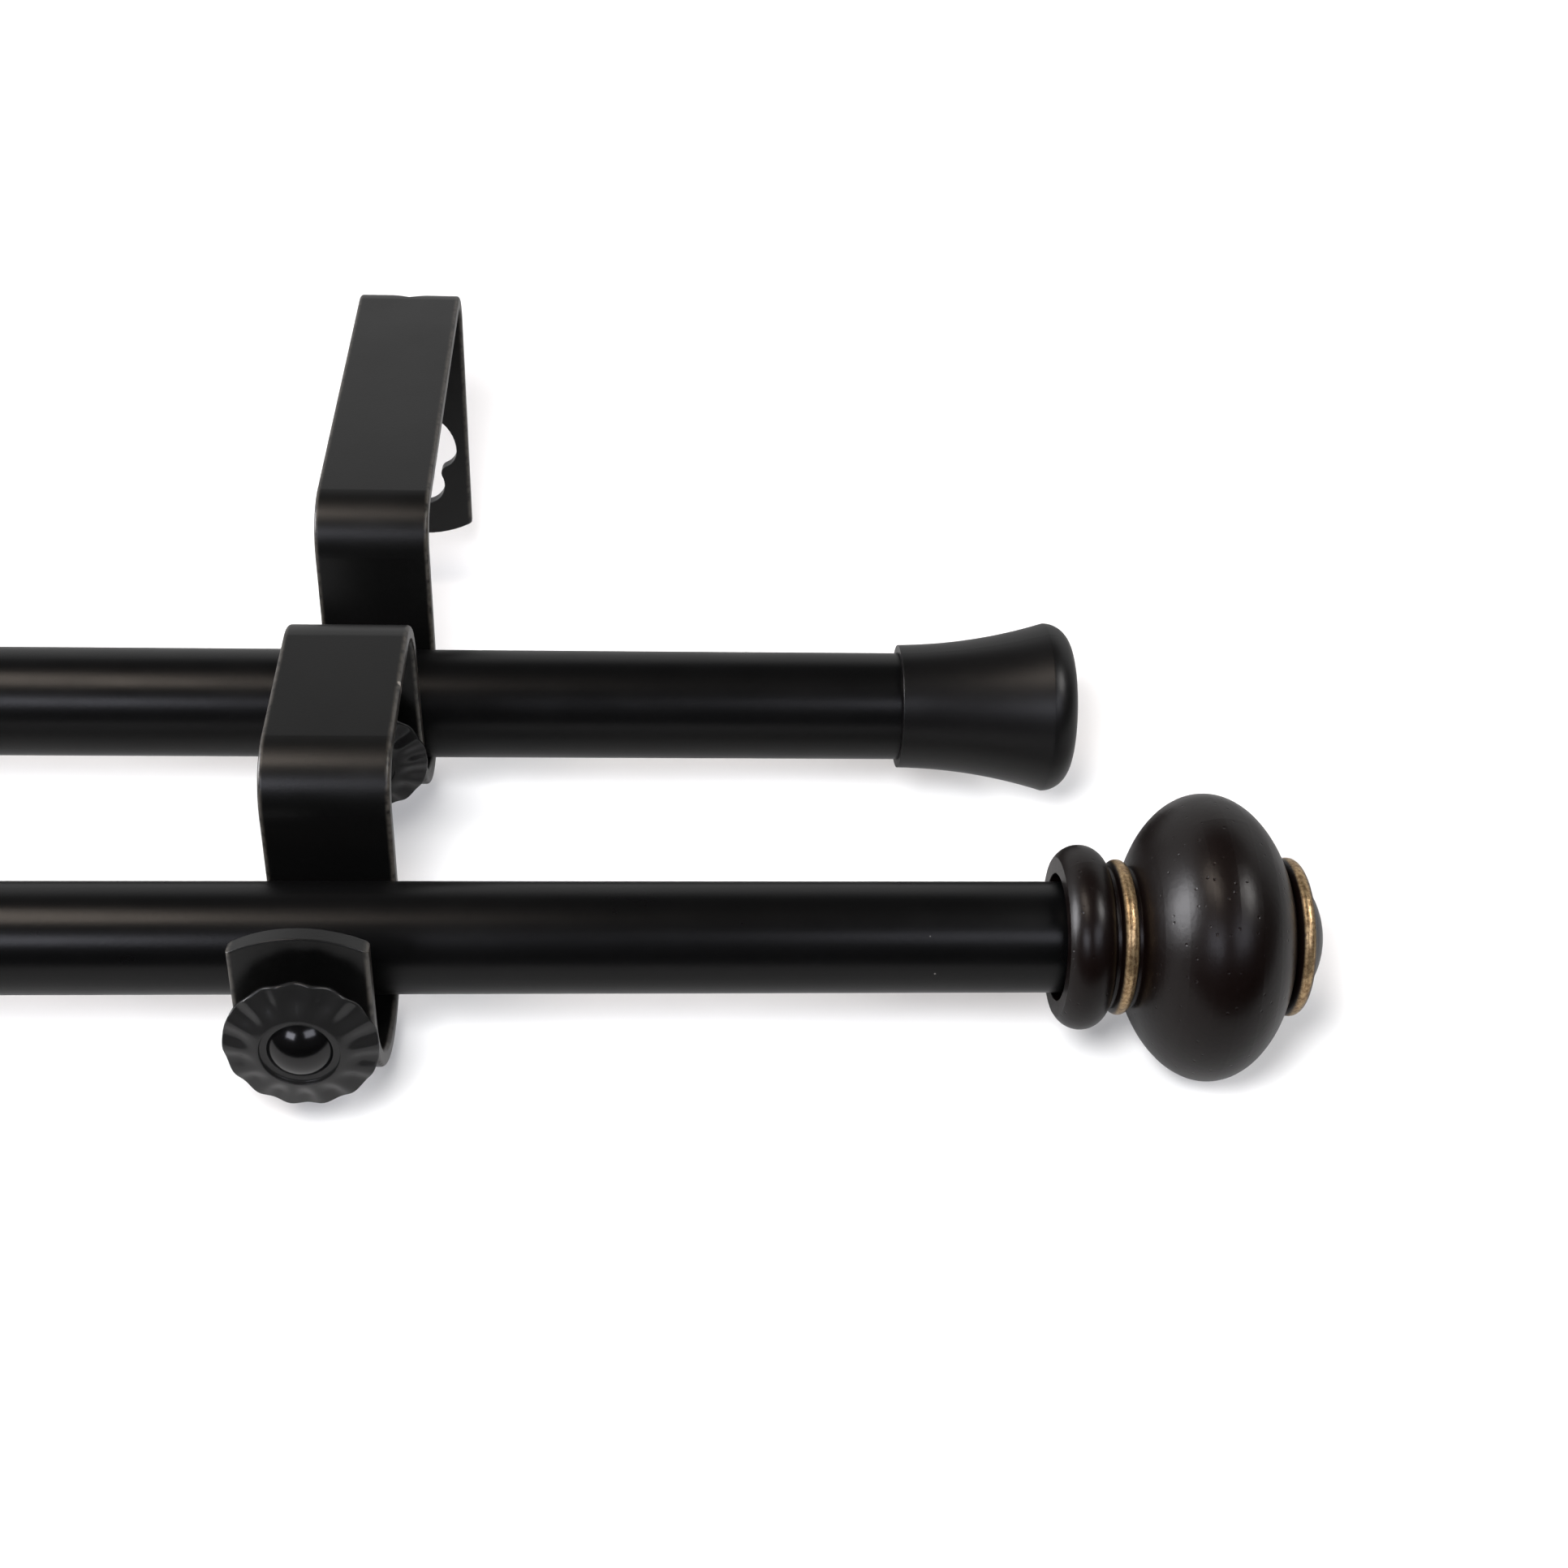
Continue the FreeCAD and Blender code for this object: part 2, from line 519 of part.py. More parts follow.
def finial(label, across, turn):
    """A cast knob: recessed collar, bead, ball, ring and button, bored for its stud."""
    bore = "(stud_radius + push_gap)"
    bore_end = "(finial_socket_depth + stud_in_finial + seat_gap)"
    socket = "(tube_radius + seat_gap)"
    bead = "(collar_length + groove_length)"
    ball = "(collar_length + 2 * groove_length + bead_length)"
    ring_end = "(ring_start + ring_length)"
    ball_left = f"(ball_radius * sqrt(1 - ((ball_centre - {ball}) / ball_half_length)^2))"
    ball_right = "(ball_radius * sqrt(1 - ((ring_start - ball_centre) / ball_half_length)^2))"
    first_angle = f"asin(({ball} - ball_centre) / ball_half_length)"
    last_angle = "asin((ring_start - ball_centre) / ball_half_length)"

    def on_ball(share):
        """A point of the ball's oval, at a share of the way from the bead to the ring."""
        angle = f"({first_angle} * {1 - share} + {last_angle} * {share})"
        return f"(ball_centre + ball_half_length * sin({angle}))", f"(ball_radius * cos({angle}))"

    between = [on_ball(joint / BALL_ARCS) for joint in range(1, BALL_ARCS)]
    corners = [
        (bore_end, "0"), (bore_end, bore), ("finial_socket_depth", bore), ("finial_socket_depth", socket),
        ("0", socket), ("0", "collar_face_radius"), ("collar_length", "groove_radius"),
        (bead, "groove_radius"), (f"({bead} + bead_length)", "groove_radius"), (ball, "groove_radius"),
        (ball, ball_left), *between, ("ring_start", ball_right), ("ring_start", "groove_radius"),
        (ring_end, "groove_radius"), (ring_end, "button_radius"), (f"({ring_end} + button_height)", "0"),
    ]
    arcs = {
        5: ("collar_length / 2", "collar_radius"),
        7: (f"{bead} + bead_length / 2", "bead_radius"),
        11 + BALL_ARCS: ("ring_start + ring_length / 2", "ring_radius"),
        13 + BALL_ARCS: crown_middle(ring_end, "button_radius", "button_height"),
    }
    for arc in range(BALL_ARCS):
        arcs[10 + arc] = on_ball((arc + 0.5) / BALL_ARCS)
    body = turned(label, corners, arcs)
    place(body, across, "-front_reach", turn=turn)
    return body


def stud(label, across, turn):
    length = "(stud_in_plug + plug_head + seat_gap + stud_in_finial)"
    tip = "(stud_radius - screw_tip)"
    corners = [("0", "0"), ("0", tip), ("screw_tip", "stud_radius"), (f"({length} - screw_tip)", "stud_radius"),
               (length, tip), (length, "0")]
    body = turned(label, corners)
    place(body, across, "-front_reach", turn=turn)
    return body


def plug(label, tube_outside, across, turn):
    """A plug pushed into a tube's end, bored for the finial's stud; its head covers the tube's wall."""
    bore = "(stud_radius + push_gap)"
    body_radius = f"({tube_outside} - tube_wall - push_gap)"
    end = "(plug_head + plug_length)"
    corners = [("0", bore), ("0", tube_outside), ("plug_head", tube_outside), ("plug_head", body_radius),
               (end, body_radius), (end, bore)]
    body = turned(label, corners)
    place(body, across, "-front_reach", turn=turn)
    return body


def end_cap(label, tube_outside, across, turn):
    """A flared cap pushed over the end of the back pole."""
    socket = f"({tube_outside} + push_gap)"
    edge = "(cap_edge * sqrt(0.5))"
    face = "(cap_flare + cap_edge)"
    face_radius = "(cap_flare_radius - cap_edge)"
    corners = [
        ("cap_socket_depth", "0"), ("cap_socket_depth", socket), ("0", socket), ("0", "cap_rim_radius"),
        ("cap_flare", "cap_flare_radius"), (face, face_radius), (f"({face} + cap_dome)", "0"),
    ]
    arcs = {
        3: ("cap_waist", "cap_waist_radius"),
        4: (f"cap_flare + {edge}", f"{face_radius} + {edge}", "cap_edge"),
        5: crown_middle(face, face_radius, "cap_dome"),
    }
    body = turned(label, corners, arcs)
    place(body, across, "-back_reach", turn=turn)
    return body


DISC_BACK = "(disc_hub_length)"
DISC_FACE = "(disc_hub_length + disc_rim)"
DISC_CROWN = "(disc_hub_length + disc_rim + disc_crown)"
DISC_DISH = "(disc_hub_length + disc_rim + disc_crown - disc_dish_depth)"


def flute_ring(body, name, rim, run, outward):
    """Hollows all round a disc, each along a line from the rim towards the middle."""
    doc.recompute()
    before = body.Shape.Volume
    lift = outward * (size("flute_radius") - size("flute_depth"))
    margin = Vector(run).normalize() * -size("cut_margin")
    flute = body.newObject("PartDesign::SubtractiveCylinder", body.Label + name)
    flute.setExpression("Radius", bound("flute_radius"))
    flute.Height = run.Length + size("cut_margin") - size("flute_depth")
    flute.AttachmentSupport = [(origin_plane(body, "XY_Plane"), "")]
    flute.MapMode = "FlatFace"
    flute.AttachmentOffset = Placement(rim + lift + margin, Rotation(Vector(0, 0, 1), run))
    doc.recompute()
    one = before - body.Shape.Volume
    flutes = body.newObject("PartDesign::PolarPattern", body.Label + name + "s")
    flutes.Originals = [flute]
    flutes.Axis = (next(item for item in body.Origin.OriginFeatures if item.Role == "X_Axis"), [""])
    flutes.Angle = 360
    flutes.Occurrences = int(size("flute_count"))
    body.Tip = flutes
    doc.recompute()
    if before - body.Shape.Volume < one * (size("flute_count") - 1):
        raise RuntimeError(body.Label + name + " is not repeated")


def thumb_disc(label):
    """A corrugated disc with a hub behind it and a dish for the screw's head; its front faces -X."""
    bore = "(screw_radius + push_gap)"
    back_rise = "(disc_crown * (disc_radius - disc_hub_radius) / (disc_radius - disc_dish_radius))"
    corners = [
        ("0", bore), ("0", "disc_hub_radius"), (f"-({DISC_BACK} + {back_rise})", "disc_hub_radius"),
        (f"-{DISC_BACK}", "disc_radius"), (f"-{DISC_FACE}", "disc_radius"),
        (f"-{DISC_CROWN}", "disc_dish_radius"), (f"-{DISC_DISH}", "disc_dish_radius"), (f"-{DISC_DISH}", bore),
    ]
    body = turned(label, corners)
    inward = size("disc_dish_radius") - size("disc_radius")
    front_rim = Vector(-number(DISC_FACE), 0, size("disc_radius"))
    front_run = Vector(-size("disc_crown"), 0, inward)
    front_side = Vector(inward, 0, size("disc_crown")).normalize()
    flute_ring(body, "_front_flute", front_rim, front_run, front_side)
    # The back's hollows lie between the front's, so the rim waves as pressed metal does.
    half_pitch = math.pi / size("flute_count")
    to_back = Rotation(Vector(1, 0, 0), math.degrees(half_pitch))
    back_rim = to_back.multVec(front_rim + Vector(size("disc_rim"), 0, 0))
    back_share = (size("disc_radius") - size("disc_hub_radius") - size("flute_depth")) / -inward
    back_run = to_back.multVec(front_run) * back_share
    flute_ring(body, "_back_flute", back_rim, back_run, to_back.multVec(front_side * -1))
    return body


def thumb_screw(label, shank):
    """A screw with a domed head that holds the disc; its shank points along +X."""
    tip = "(screw_radius - screw_tip)"
    corners = [
        (shank, "0"), (shank, tip), (f"({shank} - screw_tip)", "screw_radius"),
        (f"-{DISC_DISH}", "screw_radius"), (f"-{DISC_DISH}", "screw_head_radius"),
        (f"-({DISC_DISH} + screw_head_height)", "0"),
    ]
    along, radius = crown_middle(DISC_DISH, "screw_head_radius", "screw_head_height")
    return turned(label, corners, {4: (f"-({along})", radius)})


def screw_place(across, axis, shank, reach, pole_radius):
    """Placement of a screw whose tip stands just off the pole in front of it."""
    depth, rise, lean = axis
    along = Vector(0, math.cos(lean), math.sin(lean))
    crossing = Vector(across, depth, rise)
    to_pole = Vector(across, -reach, 0) - crossing
    aside = (to_pole - along * to_pole.dot(along)).Length
    nearest = max(0.0, aside - size("screw_radius") + size("screw_tip"))
    tip = to_pole.dot(along) - math.sqrt(pole_radius ** 2 - nearest ** 2) - size("seat_gap")
    return Placement(crossing + along * (tip - shank), Rotation(Vector(1, 0, 0), along))


HALF_SPACING = "(bracket_spacing / 2)"
FINIAL_FACE = f"({HALF_SPACING} + finial_overhang)"
CAP_RIM = f"({HALF_SPACING} + cap_overhang)"
FRONT_END = f"({FINIAL_FACE} + {TUBE_IN_FINIAL})"
BACK_END = f"({CAP_RIM} + {TUBE_IN_CAP})"
PLUG_FACE = f"({FRONT_END} + plug_head)"
STUD_END = f"({FRONT_END} - stud_in_plug)"
PARTS = []

for label, across in (("bracket_left", f"-{HALF_SPACING}"), ("bracket_right", HALF_SPACING)):
    PARTS.append(bracket(label, across))

# The front pole's wide tube is on the left and its slim one on the right; the back pole's the other way.
PARTS.append(tube("front_wide_tube", "tube_radius", "wide_tube_length", f"-{FRONT_END}", "front_reach"))
PARTS.append(tube("front_slim_tube", SLIM_RADIUS, "slim_tube_length",
                  f"({FRONT_END} - slim_tube_length)", "front_reach"))
PARTS.append(tube("back_wide_tube", "tube_radius", "wide_tube_length",
                  f"({BACK_END} - wide_tube_length)", "back_reach"))
PARTS.append(tube("back_slim_tube", SLIM_RADIUS, "slim_tube_length", f"-{BACK_END}", "back_reach"))

AHEAD = Rotation()
ENDS = (("left", "-", FACING_BACK, AHEAD), ("right", "", AHEAD, FACING_BACK))
for side, sign, outward, inward in ENDS:
    front_tube = "tube_radius" if side == "left" else SLIM_RADIUS
    back_tube = SLIM_RADIUS if side == "left" else "tube_radius"
    PARTS.append(finial("finial_" + side, sign + FINIAL_FACE, outward))
    PARTS.append(stud("finial_stud_" + side, sign + STUD_END, outward))
    PARTS.append(plug("tube_plug_" + side, front_tube, sign + PLUG_FACE, inward))
    PARTS.append(end_cap("end_cap_" + side, back_tube, sign + CAP_RIM, outward))
    across = number(sign + HALF_SPACING)
    for pole, axis, reach, pole_tube in (("front", front_screw_axis(), "front_reach", front_tube),
                                         ("back", back_screw_axis(), "back_reach", back_tube)):
        shank = pole + "_shank"
        spot = screw_place(across, axis, size(shank), size(reach), number(pole_tube))
        for piece in (thumb_screw(f"{pole}_screw_{side}", shank), thumb_disc(f"{pole}_disc_{side}")):
            piece.Placement = spot
            PARTS.append(piece)

doc.recompute()
for item in doc.Objects:
    if "Invalid" in item.State or "Error" in item.State:
        raise RuntimeError(f"{item.Label} failed: {item.State}")
for item in PARTS:
    if item.Shape.isNull() or not item.Shape.isValid():
        raise RuntimeError(item.Label + " has no valid shape")

os.makedirs("parts", exist_ok=True)
for item in PARTS:
    item.Shape.exportStep(f"parts/{item.Label}.step")
    box = item.Shape.optimalBoundingBox(False)
    print(f"{item.Label}: {len(item.Shape.Solids)} solid, {item.Shape.Volume:.1f} mm3, "
          f"X {box.XMin:.2f} to {box.XMax:.2f}, Y {box.YMin:.2f} to {box.YMax:.2f}, "
          f"Z {box.ZMin:.2f} to {box.ZMax:.2f}")
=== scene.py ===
# %% [markdown]
# A double curtain pole: two telescoping poles, one behind the other, on folded strap brackets.
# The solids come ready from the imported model, at their real size and place, in metres.
# This script gives them their looks: pressed thumb discs and threaded screws where the eye comes
# close, paint, moulded plastic, cast resin with antique gold, a pale floor and soft light.

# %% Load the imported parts
import json
import math

import bpy
from mathutils import Matrix, Vector


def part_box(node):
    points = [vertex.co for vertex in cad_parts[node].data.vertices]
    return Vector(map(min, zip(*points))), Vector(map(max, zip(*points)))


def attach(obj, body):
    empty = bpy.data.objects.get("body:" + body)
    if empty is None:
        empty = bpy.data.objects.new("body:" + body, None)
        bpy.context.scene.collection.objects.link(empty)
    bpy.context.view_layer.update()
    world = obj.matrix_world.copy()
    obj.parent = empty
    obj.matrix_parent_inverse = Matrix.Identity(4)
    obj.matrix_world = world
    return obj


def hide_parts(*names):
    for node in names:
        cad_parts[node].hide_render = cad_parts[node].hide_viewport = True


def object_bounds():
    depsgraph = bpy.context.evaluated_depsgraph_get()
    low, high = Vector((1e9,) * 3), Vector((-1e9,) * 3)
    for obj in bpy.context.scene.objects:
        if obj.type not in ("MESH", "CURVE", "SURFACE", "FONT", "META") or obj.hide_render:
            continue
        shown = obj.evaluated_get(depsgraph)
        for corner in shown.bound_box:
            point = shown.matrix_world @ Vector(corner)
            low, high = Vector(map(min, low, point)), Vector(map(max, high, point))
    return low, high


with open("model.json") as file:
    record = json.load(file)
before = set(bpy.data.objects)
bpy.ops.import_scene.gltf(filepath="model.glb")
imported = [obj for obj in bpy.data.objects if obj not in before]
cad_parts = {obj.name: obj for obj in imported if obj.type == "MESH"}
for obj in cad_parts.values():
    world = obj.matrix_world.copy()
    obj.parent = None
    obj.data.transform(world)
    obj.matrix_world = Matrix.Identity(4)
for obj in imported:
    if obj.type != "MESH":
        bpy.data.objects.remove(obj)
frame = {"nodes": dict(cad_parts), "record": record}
cad_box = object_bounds()
nodes = frame["nodes"]
record = frame["record"]
scene = bpy.context.scene
MM = 0.001
print("parts", len(nodes), "box", [tuple(round(v, 4) for v in corner) for corner in cad_box])

# %% [markdown]
# The camera stands where the photographer stood: in front of the right-hand bracket, looking
# down on it. It could be placed by eye, but the straps' edges in the photograph fix it far
# better, so its place and three turns are the ones that fit those edges. The photograph is
# square, and its focal length in pixels gives the lens.

# %% Camera
FRAME_SIDE = 1932
FOCAL_PIXELS = 2591.2
SENSOR = 36.0
NEAREST = 0.01
FARTHEST = 50.0
CAMERA_YAW = math.radians(4.20)
CAMERA_DOWN = math.radians(33.49)
CAMERA_ROLL = math.radians(2.52)
CAMERA_PLACE = Vector((289.1, -448.1, 212.1)) * MM

forward = Vector((math.sin(CAMERA_YAW) * math.cos(CAMERA_DOWN),
                  math.cos(CAMERA_YAW) * math.cos(CAMERA_DOWN), -math.sin(CAMERA_DOWN)))
level = Vector((math.cos(CAMERA_YAW), -math.sin(CAMERA_YAW), 0))
upright = level.cross(forward)
right = level * math.cos(CAMERA_ROLL) + upright * math.sin(CAMERA_ROLL)
above = upright * math.cos(CAMERA_ROLL) - level * math.sin(CAMERA_ROLL)
camera_turn = Matrix((right, above, -forward)).transposed().to_4x4()

lens = bpy.data.cameras.new("photo_camera")
lens.sensor_width = SENSOR
lens.lens = FOCAL_PIXELS / FRAME_SIDE * SENSOR
lens.clip_start = NEAREST
lens.clip_end = FARTHEST
camera = bpy.data.objects.new("photo_camera", lens)
camera.matrix_world = Matrix.Translation(CAMERA_PLACE) @ camera_turn
scene.collection.objects.link(camera)
scene.camera = camera
print("lens", round(lens.lens, 2), "mm")

# %% [markdown]
# Node trees are long to write out, so a few helpers make them read like sentences: one adds a
# node and fills its inputs, one does a sum, one turns a value into a soft step, and one mixes two
# colours. The last one starts a tree of its own with named sockets, for what is used more than once.

# %% Helpers for node trees


def add(tree, kind, inputs=None, **settings):
    """A node of a tree; inputs are numbers, colours or other nodes' outputs."""
    node = tree.nodes.new(kind)
    for name, value in settings.items():
        setattr(node, name, value)
    for name, value in (inputs or {}).items():
        if isinstance(value, bpy.types.NodeSocket):
            tree.links.new(value, node.inputs[name])
        else:
            node.inputs[name].default_value = value
    return node


def calc(tree, operation, *values):
    """One sum of numbers or outputs."""
    return add(tree, "ShaderNodeMath", dict(enumerate(values)), operation=operation).outputs[0]


def step(tree, value, low, high):
    """A soft step from 0 at low to 1 at high; low may be the larger one."""
    inputs = {"Value": value, "From Min": low, "From Max": high}
    return add(tree, "ShaderNodeMapRange", inputs, interpolation_type="SMOOTHSTEP").outputs[0]


def blend(tree, factor, first, second):
    """A colour between two colours."""
    return add(tree, "ShaderNodeMix", {0: factor, 6: first, 7: second}, data_type="RGBA").outputs[2]


def named_tree(name, kind, inputs, outputs):
    """A node tree with named sockets; returns the tree, its input node and its output node."""
    tree = bpy.data.node_groups.new(name, kind)
    for way, sockets in (("INPUT", inputs), ("OUTPUT", outputs)):
        for socket, socket_kind in sockets.items():
            tree.interface.new_socket(name=socket, in_out=way, socket_type=socket_kind)
    return tree, tree.nodes.new("NodeGroupInput"), tree.nodes.new("NodeGroupOutput")


print("helpers", [helper.__name__ for helper in (add, calc, step, blend, named_tree)])

# %% [markdown]
# Paint on metal and the skin of a moulding have the same small signs: a fine orange peel, a
# gloss that drifts from place to place and a few pale specks of dust. Each material could have its
# own nodes for them. Here they are one node group that every black finish shares, so that all of
# them age alike, each with its own colour, gloss and grain.

# %% Shared skin of the black finishes
FLOAT = "NodeSocketFloat"
COLOUR = "NodeSocketColor"
PEEL_DETAIL = 3.0
DRIFT_PER_METRE = 45.0
DRIFT_DETAIL = 4.0
DRIFT_ROUGHNESS = 0.6
DRIFT_LOW = 0.3
DRIFT_HIGH = 0.7
SPECKS_PER_METRE = 150.0
SPECK_SHARE = 0.16
SPECK_COLOUR = (0.12, 0.115, 0.11, 1)

skin, given, made = named_tree(
    "painted_skin", "ShaderNodeTree",
    {"Colour": COLOUR, "Gloss drift": FLOAT, "Roughness": FLOAT, "Grain": FLOAT, "Speck size": FLOAT},
    {"Colour": COLOUR, "Roughness": FLOAT, "Height": FLOAT},
)
spot = add(skin, "ShaderNodeTexCoord").outputs["Object"]
peel = add(skin, "ShaderNodeTexNoise",
           {"Vector": spot, "Scale": given.outputs["Grain"], "Detail": PEEL_DETAIL})
drift = add(skin, "ShaderNodeTexNoise", {
    "Vector": spot, "Scale": DRIFT_PER_METRE, "Detail": DRIFT_DETAIL, "Roughness": DRIFT_ROUGHNESS})
swing = add(skin, "ShaderNodeMapRange", {
    "Value": drift.outputs["Fac"], "From Min": DRIFT_LOW, "From Max": DRIFT_HIGH, "To Min": -1.0})
gloss = calc(skin, "MULTIPLY_ADD", swing.outputs[0], given.outputs["Gloss drift"],
             given.outputs["Roughness"])
cells = add(skin, "ShaderNodeTexVoronoi", {"Vector": spot, "Scale": SPECKS_PER_METRE})
pick = add(skin, "ShaderNodeSeparateColor", {0: cells.outputs["Color"]})
few = calc(skin, "LESS_THAN", pick.outputs[0], SPECK_SHARE)
close = calc(skin, "LESS_THAN", cells.outputs["Distance"], given.outputs["Speck size"])
speck = calc(skin, "MULTIPLY", few, close)
skin.links.new(blend(skin, speck, given.outputs["Colour"], SPECK_COLOUR), made.inputs["Colour"])
skin.links.new(gloss, made.inputs["Roughness"])
skin.links.new(peel.outputs["Fac"], made.inputs["Height"])
print("group", skin.name)

# %% [markdown]
# A black finish is a shader with this skin over it. Its colour goes through the skin only where
# the finish has specks: an even colour is set on the shader itself. Sharp edges of the solids look
# cut from card under a highlight, so most finishes round them a little, as a coat of paint does.
# That could be done to every mesh with a bevel, but a bevel in the shader leaves the solids alone.

# %% A finish from the shared skin
BEVEL_SAMPLES = 6


def finish(name, colour, roughness, grain_mm, bump_mm, specular, drift=0.04, speck_mm=0.0,
           soft_edge_mm=0.0):
    """A black paint or moulding from the shared skin; returns the material and its main nodes."""
    material = bpy.data.materials.new(name)
    material.use_nodes = True
    tree = material.node_tree
    surface = tree.nodes["Principled BSDF"]
    surface.inputs["Base Color"].default_value = (*colour, 1)
    surface.inputs["Specular IOR Level"].default_value = specular
    film = add(tree, "ShaderNodeGroup", node_tree=skin)
    film.inputs["Colour"].default_value = (*colour, 1)
    film.inputs["Roughness"].default_value = roughness
    film.inputs["Gloss drift"].default_value = drift
    film.inputs["Grain"].default_value = 1 / (grain_mm * MM)
    film.inputs["Speck size"].default_value = speck_mm * MM * SPECKS_PER_METRE
    bumps = add(tree, "ShaderNodeBump", {"Distance": bump_mm * MM, "Height": film.outputs["Height"]})
    if soft_edge_mm:
        soft_edge = add(tree, "ShaderNodeBevel", {"Radius": soft_edge_mm * MM}, samples=BEVEL_SAMPLES)
        tree.links.new(soft_edge.outputs[0], bumps.inputs["Normal"])
    if speck_mm:
        tree.links.new(film.outputs["Colour"], surface.inputs["Base Color"])
    tree.links.new(film.outputs["Roughness"], surface.inputs["Roughness"])
    tree.links.new(bumps.outputs["Normal"], surface.inputs["Normal"])
    print("finish", name)
    return material, tree, surface, film, bumps


# %% [markdown]
# The poles are rolled steel tube under satin black lacquer. The thumb discs wear a glossier coat
# and the screws' domes the glossiest one. The end caps and the plugs are moulded, a little duller,
# with a finer grain. None of them has a pattern of its own, so one call makes each of them.

# %% Plain black finishes
tube_paint = finish("tube_paint", (0.0012, 0.0012, 0.0013), roughness=0.30, grain_mm=0.7,
                    bump_mm=0.010, specular=0.25, speck_mm=0.16)[0]
thumb_paint = finish("thumb_paint", (0.0085, 0.0085, 0.0085), roughness=0.22, grain_mm=0.9,
                     bump_mm=0.012, specular=0.4, soft_edge_mm=0.25)[0]
dome_paint = finish("dome_paint", (0.0016, 0.0016, 0.0017), roughness=0.16, grain_mm=1.4,
                    bump_mm=0.010, specular=0.5, drift=0.02)[0]
cap_plastic = finish("cap_plastic", (0.0016, 0.0015, 0.0016), roughness=0.36, grain_mm=0.4,
                     bump_mm=0.010, specular=0.34, speck_mm=0.14, soft_edge_mm=0.4)[0]
plug_plastic = finish("plug_plastic", (0.012, 0.012, 0.012), roughness=0.5, grain_mm=0.4,
                      bump_mm=0.012, specular=0.4)[0]

# %% [markdown]
# The brackets are slit and folded from strip, then sprayed matte. The cut edges along both sides
# of the strap show as paler, browner lines: a painted highlight for the light they catch, broken
# up by noise. One edge of the right-hand bracket has a chip. Both could be painted on by hand, but
# a strap keeps one width and line throughout, so the distance from its middle finds both brackets' edges.

# %% Strap paint with a painted edge highlight and a chip
strap_low, strap_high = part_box("bracket_right")
STRAP_MIDDLE = (strap_low.x + strap_high.x) / 2
STRAP_HALF = (strap_high.x - strap_low.x) / 2
EDGE_HIGHLIGHT_FROM = STRAP_HALF - 1.0 * MM
EDGE_HIGHLIGHT_FULL = STRAP_HALF - 0.2 * MM
RAGGED_PER_METRE = 900.0
RAGGED_DETAIL = 3.0
RAGGED_RANGE = (0.25, 0.6)
# Painted highlight: the pale brown that stands for the light on the cut edges.
EDGE_HIGHLIGHT_COLOUR = (0.040, 0.036, 0.031, 1)
CHIP_COLOUR = (0.22, 0.20, 0.18, 1)
CHIP_PLACE = (strap_high.x, -140.5 * MM)
CHIP_SIZE = 0.7 * MM
CHIP_FADE = 1.3

strap_paint, tree, surface, film = finish(
    "strap_paint", (0.0012, 0.0012, 0.0012), roughness=0.33, grain_mm=0.45, bump_mm=0.010, specular=0.5,
    speck_mm=0.1, soft_edge_mm=0.4)[:4]
spot = add(tree, "ShaderNodeTexCoord").outputs["Object"]
axes = add(tree, "ShaderNodeSeparateXYZ", {0: spot})
ragged = add(tree, "ShaderNodeTexNoise",
             {"Vector": spot, "Scale": RAGGED_PER_METRE, "Detail": RAGGED_DETAIL}).outputs["Fac"]
from_centre = calc(tree, "ABSOLUTE", axes.outputs["X"])
off_middle = calc(tree, "ABSOLUTE", calc(tree, "SUBTRACT", from_centre, STRAP_MIDDLE))
# Painted highlight in a band along both cut edges of the strap, made ragged by noise.
edge_highlight = calc(tree, "MULTIPLY", step(tree, off_middle, EDGE_HIGHLIGHT_FROM, EDGE_HIGHLIGHT_FULL),
            step(tree, ragged, *RAGGED_RANGE))
highlighted_edges = blend(tree, edge_highlight, film.outputs["Colour"], EDGE_HIGHLIGHT_COLOUR)
chip_x = calc(tree, "POWER", calc(tree, "SUBTRACT", axes.outputs["X"], CHIP_PLACE[0]), 2.0)
chip_y = calc(tree, "POWER", calc(tree, "SUBTRACT", axes.outputs["Y"], CHIP_PLACE[1]), 2.0)
chip_way = calc(tree, "SQRT", calc(tree, "ADD", chip_x, chip_y))
chip_way = calc(tree, "MULTIPLY_ADD", ragged, CHIP_SIZE, chip_way)
chip = step(tree, chip_way, CHIP_SIZE * CHIP_FADE, CHIP_SIZE)
tree.links.new(blend(tree, chip, highlighted_edges, CHIP_COLOUR), surface.inputs["Base Color"])
print("strap", round(STRAP_HALF * 2 / MM, 2), "mm wide")

# %% [markdown]
# The finials are cast in resin and lacquered dark brown. The bead by the collar and the ring round
# the button are painted antique gold, rubbed bare in places. The gold could be pieces of their own,
# but on the real casting it is only paint, so bands along the pole's axis mark where it lies, and
# noise rubs it away.

# %% Finial resin with antique gold
COLLAR_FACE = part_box("finial_right")[0].x
BEAD_BAND = (9.35 * MM, 11.05 * MM)
RING_BAND = (38.35 * MM, 39.75 * MM)
BAND_SOFT = 0.4 * MM
RESIN = (0.0024, 0.0011, 0.0009)
GOLD = (0.56, 0.40, 0.22, 1)
GOLD_SHADE = (0.26, 0.165, 0.085, 1)
GOLD_TONES = (0.38, 0.62)
GOLD_METAL = 0.9
RUB_PER_METRE = 1500.0
RUB_DETAIL = 5.0
RUB_ROUGHNESS = 0.7
RUB_WEIGHT = 0.55
WORN_PER_METRE = 260.0
WORN_DETAIL = 3.0
WORN_WEIGHT = 0.6
BARE_RANGE = (0.34, 0.50)

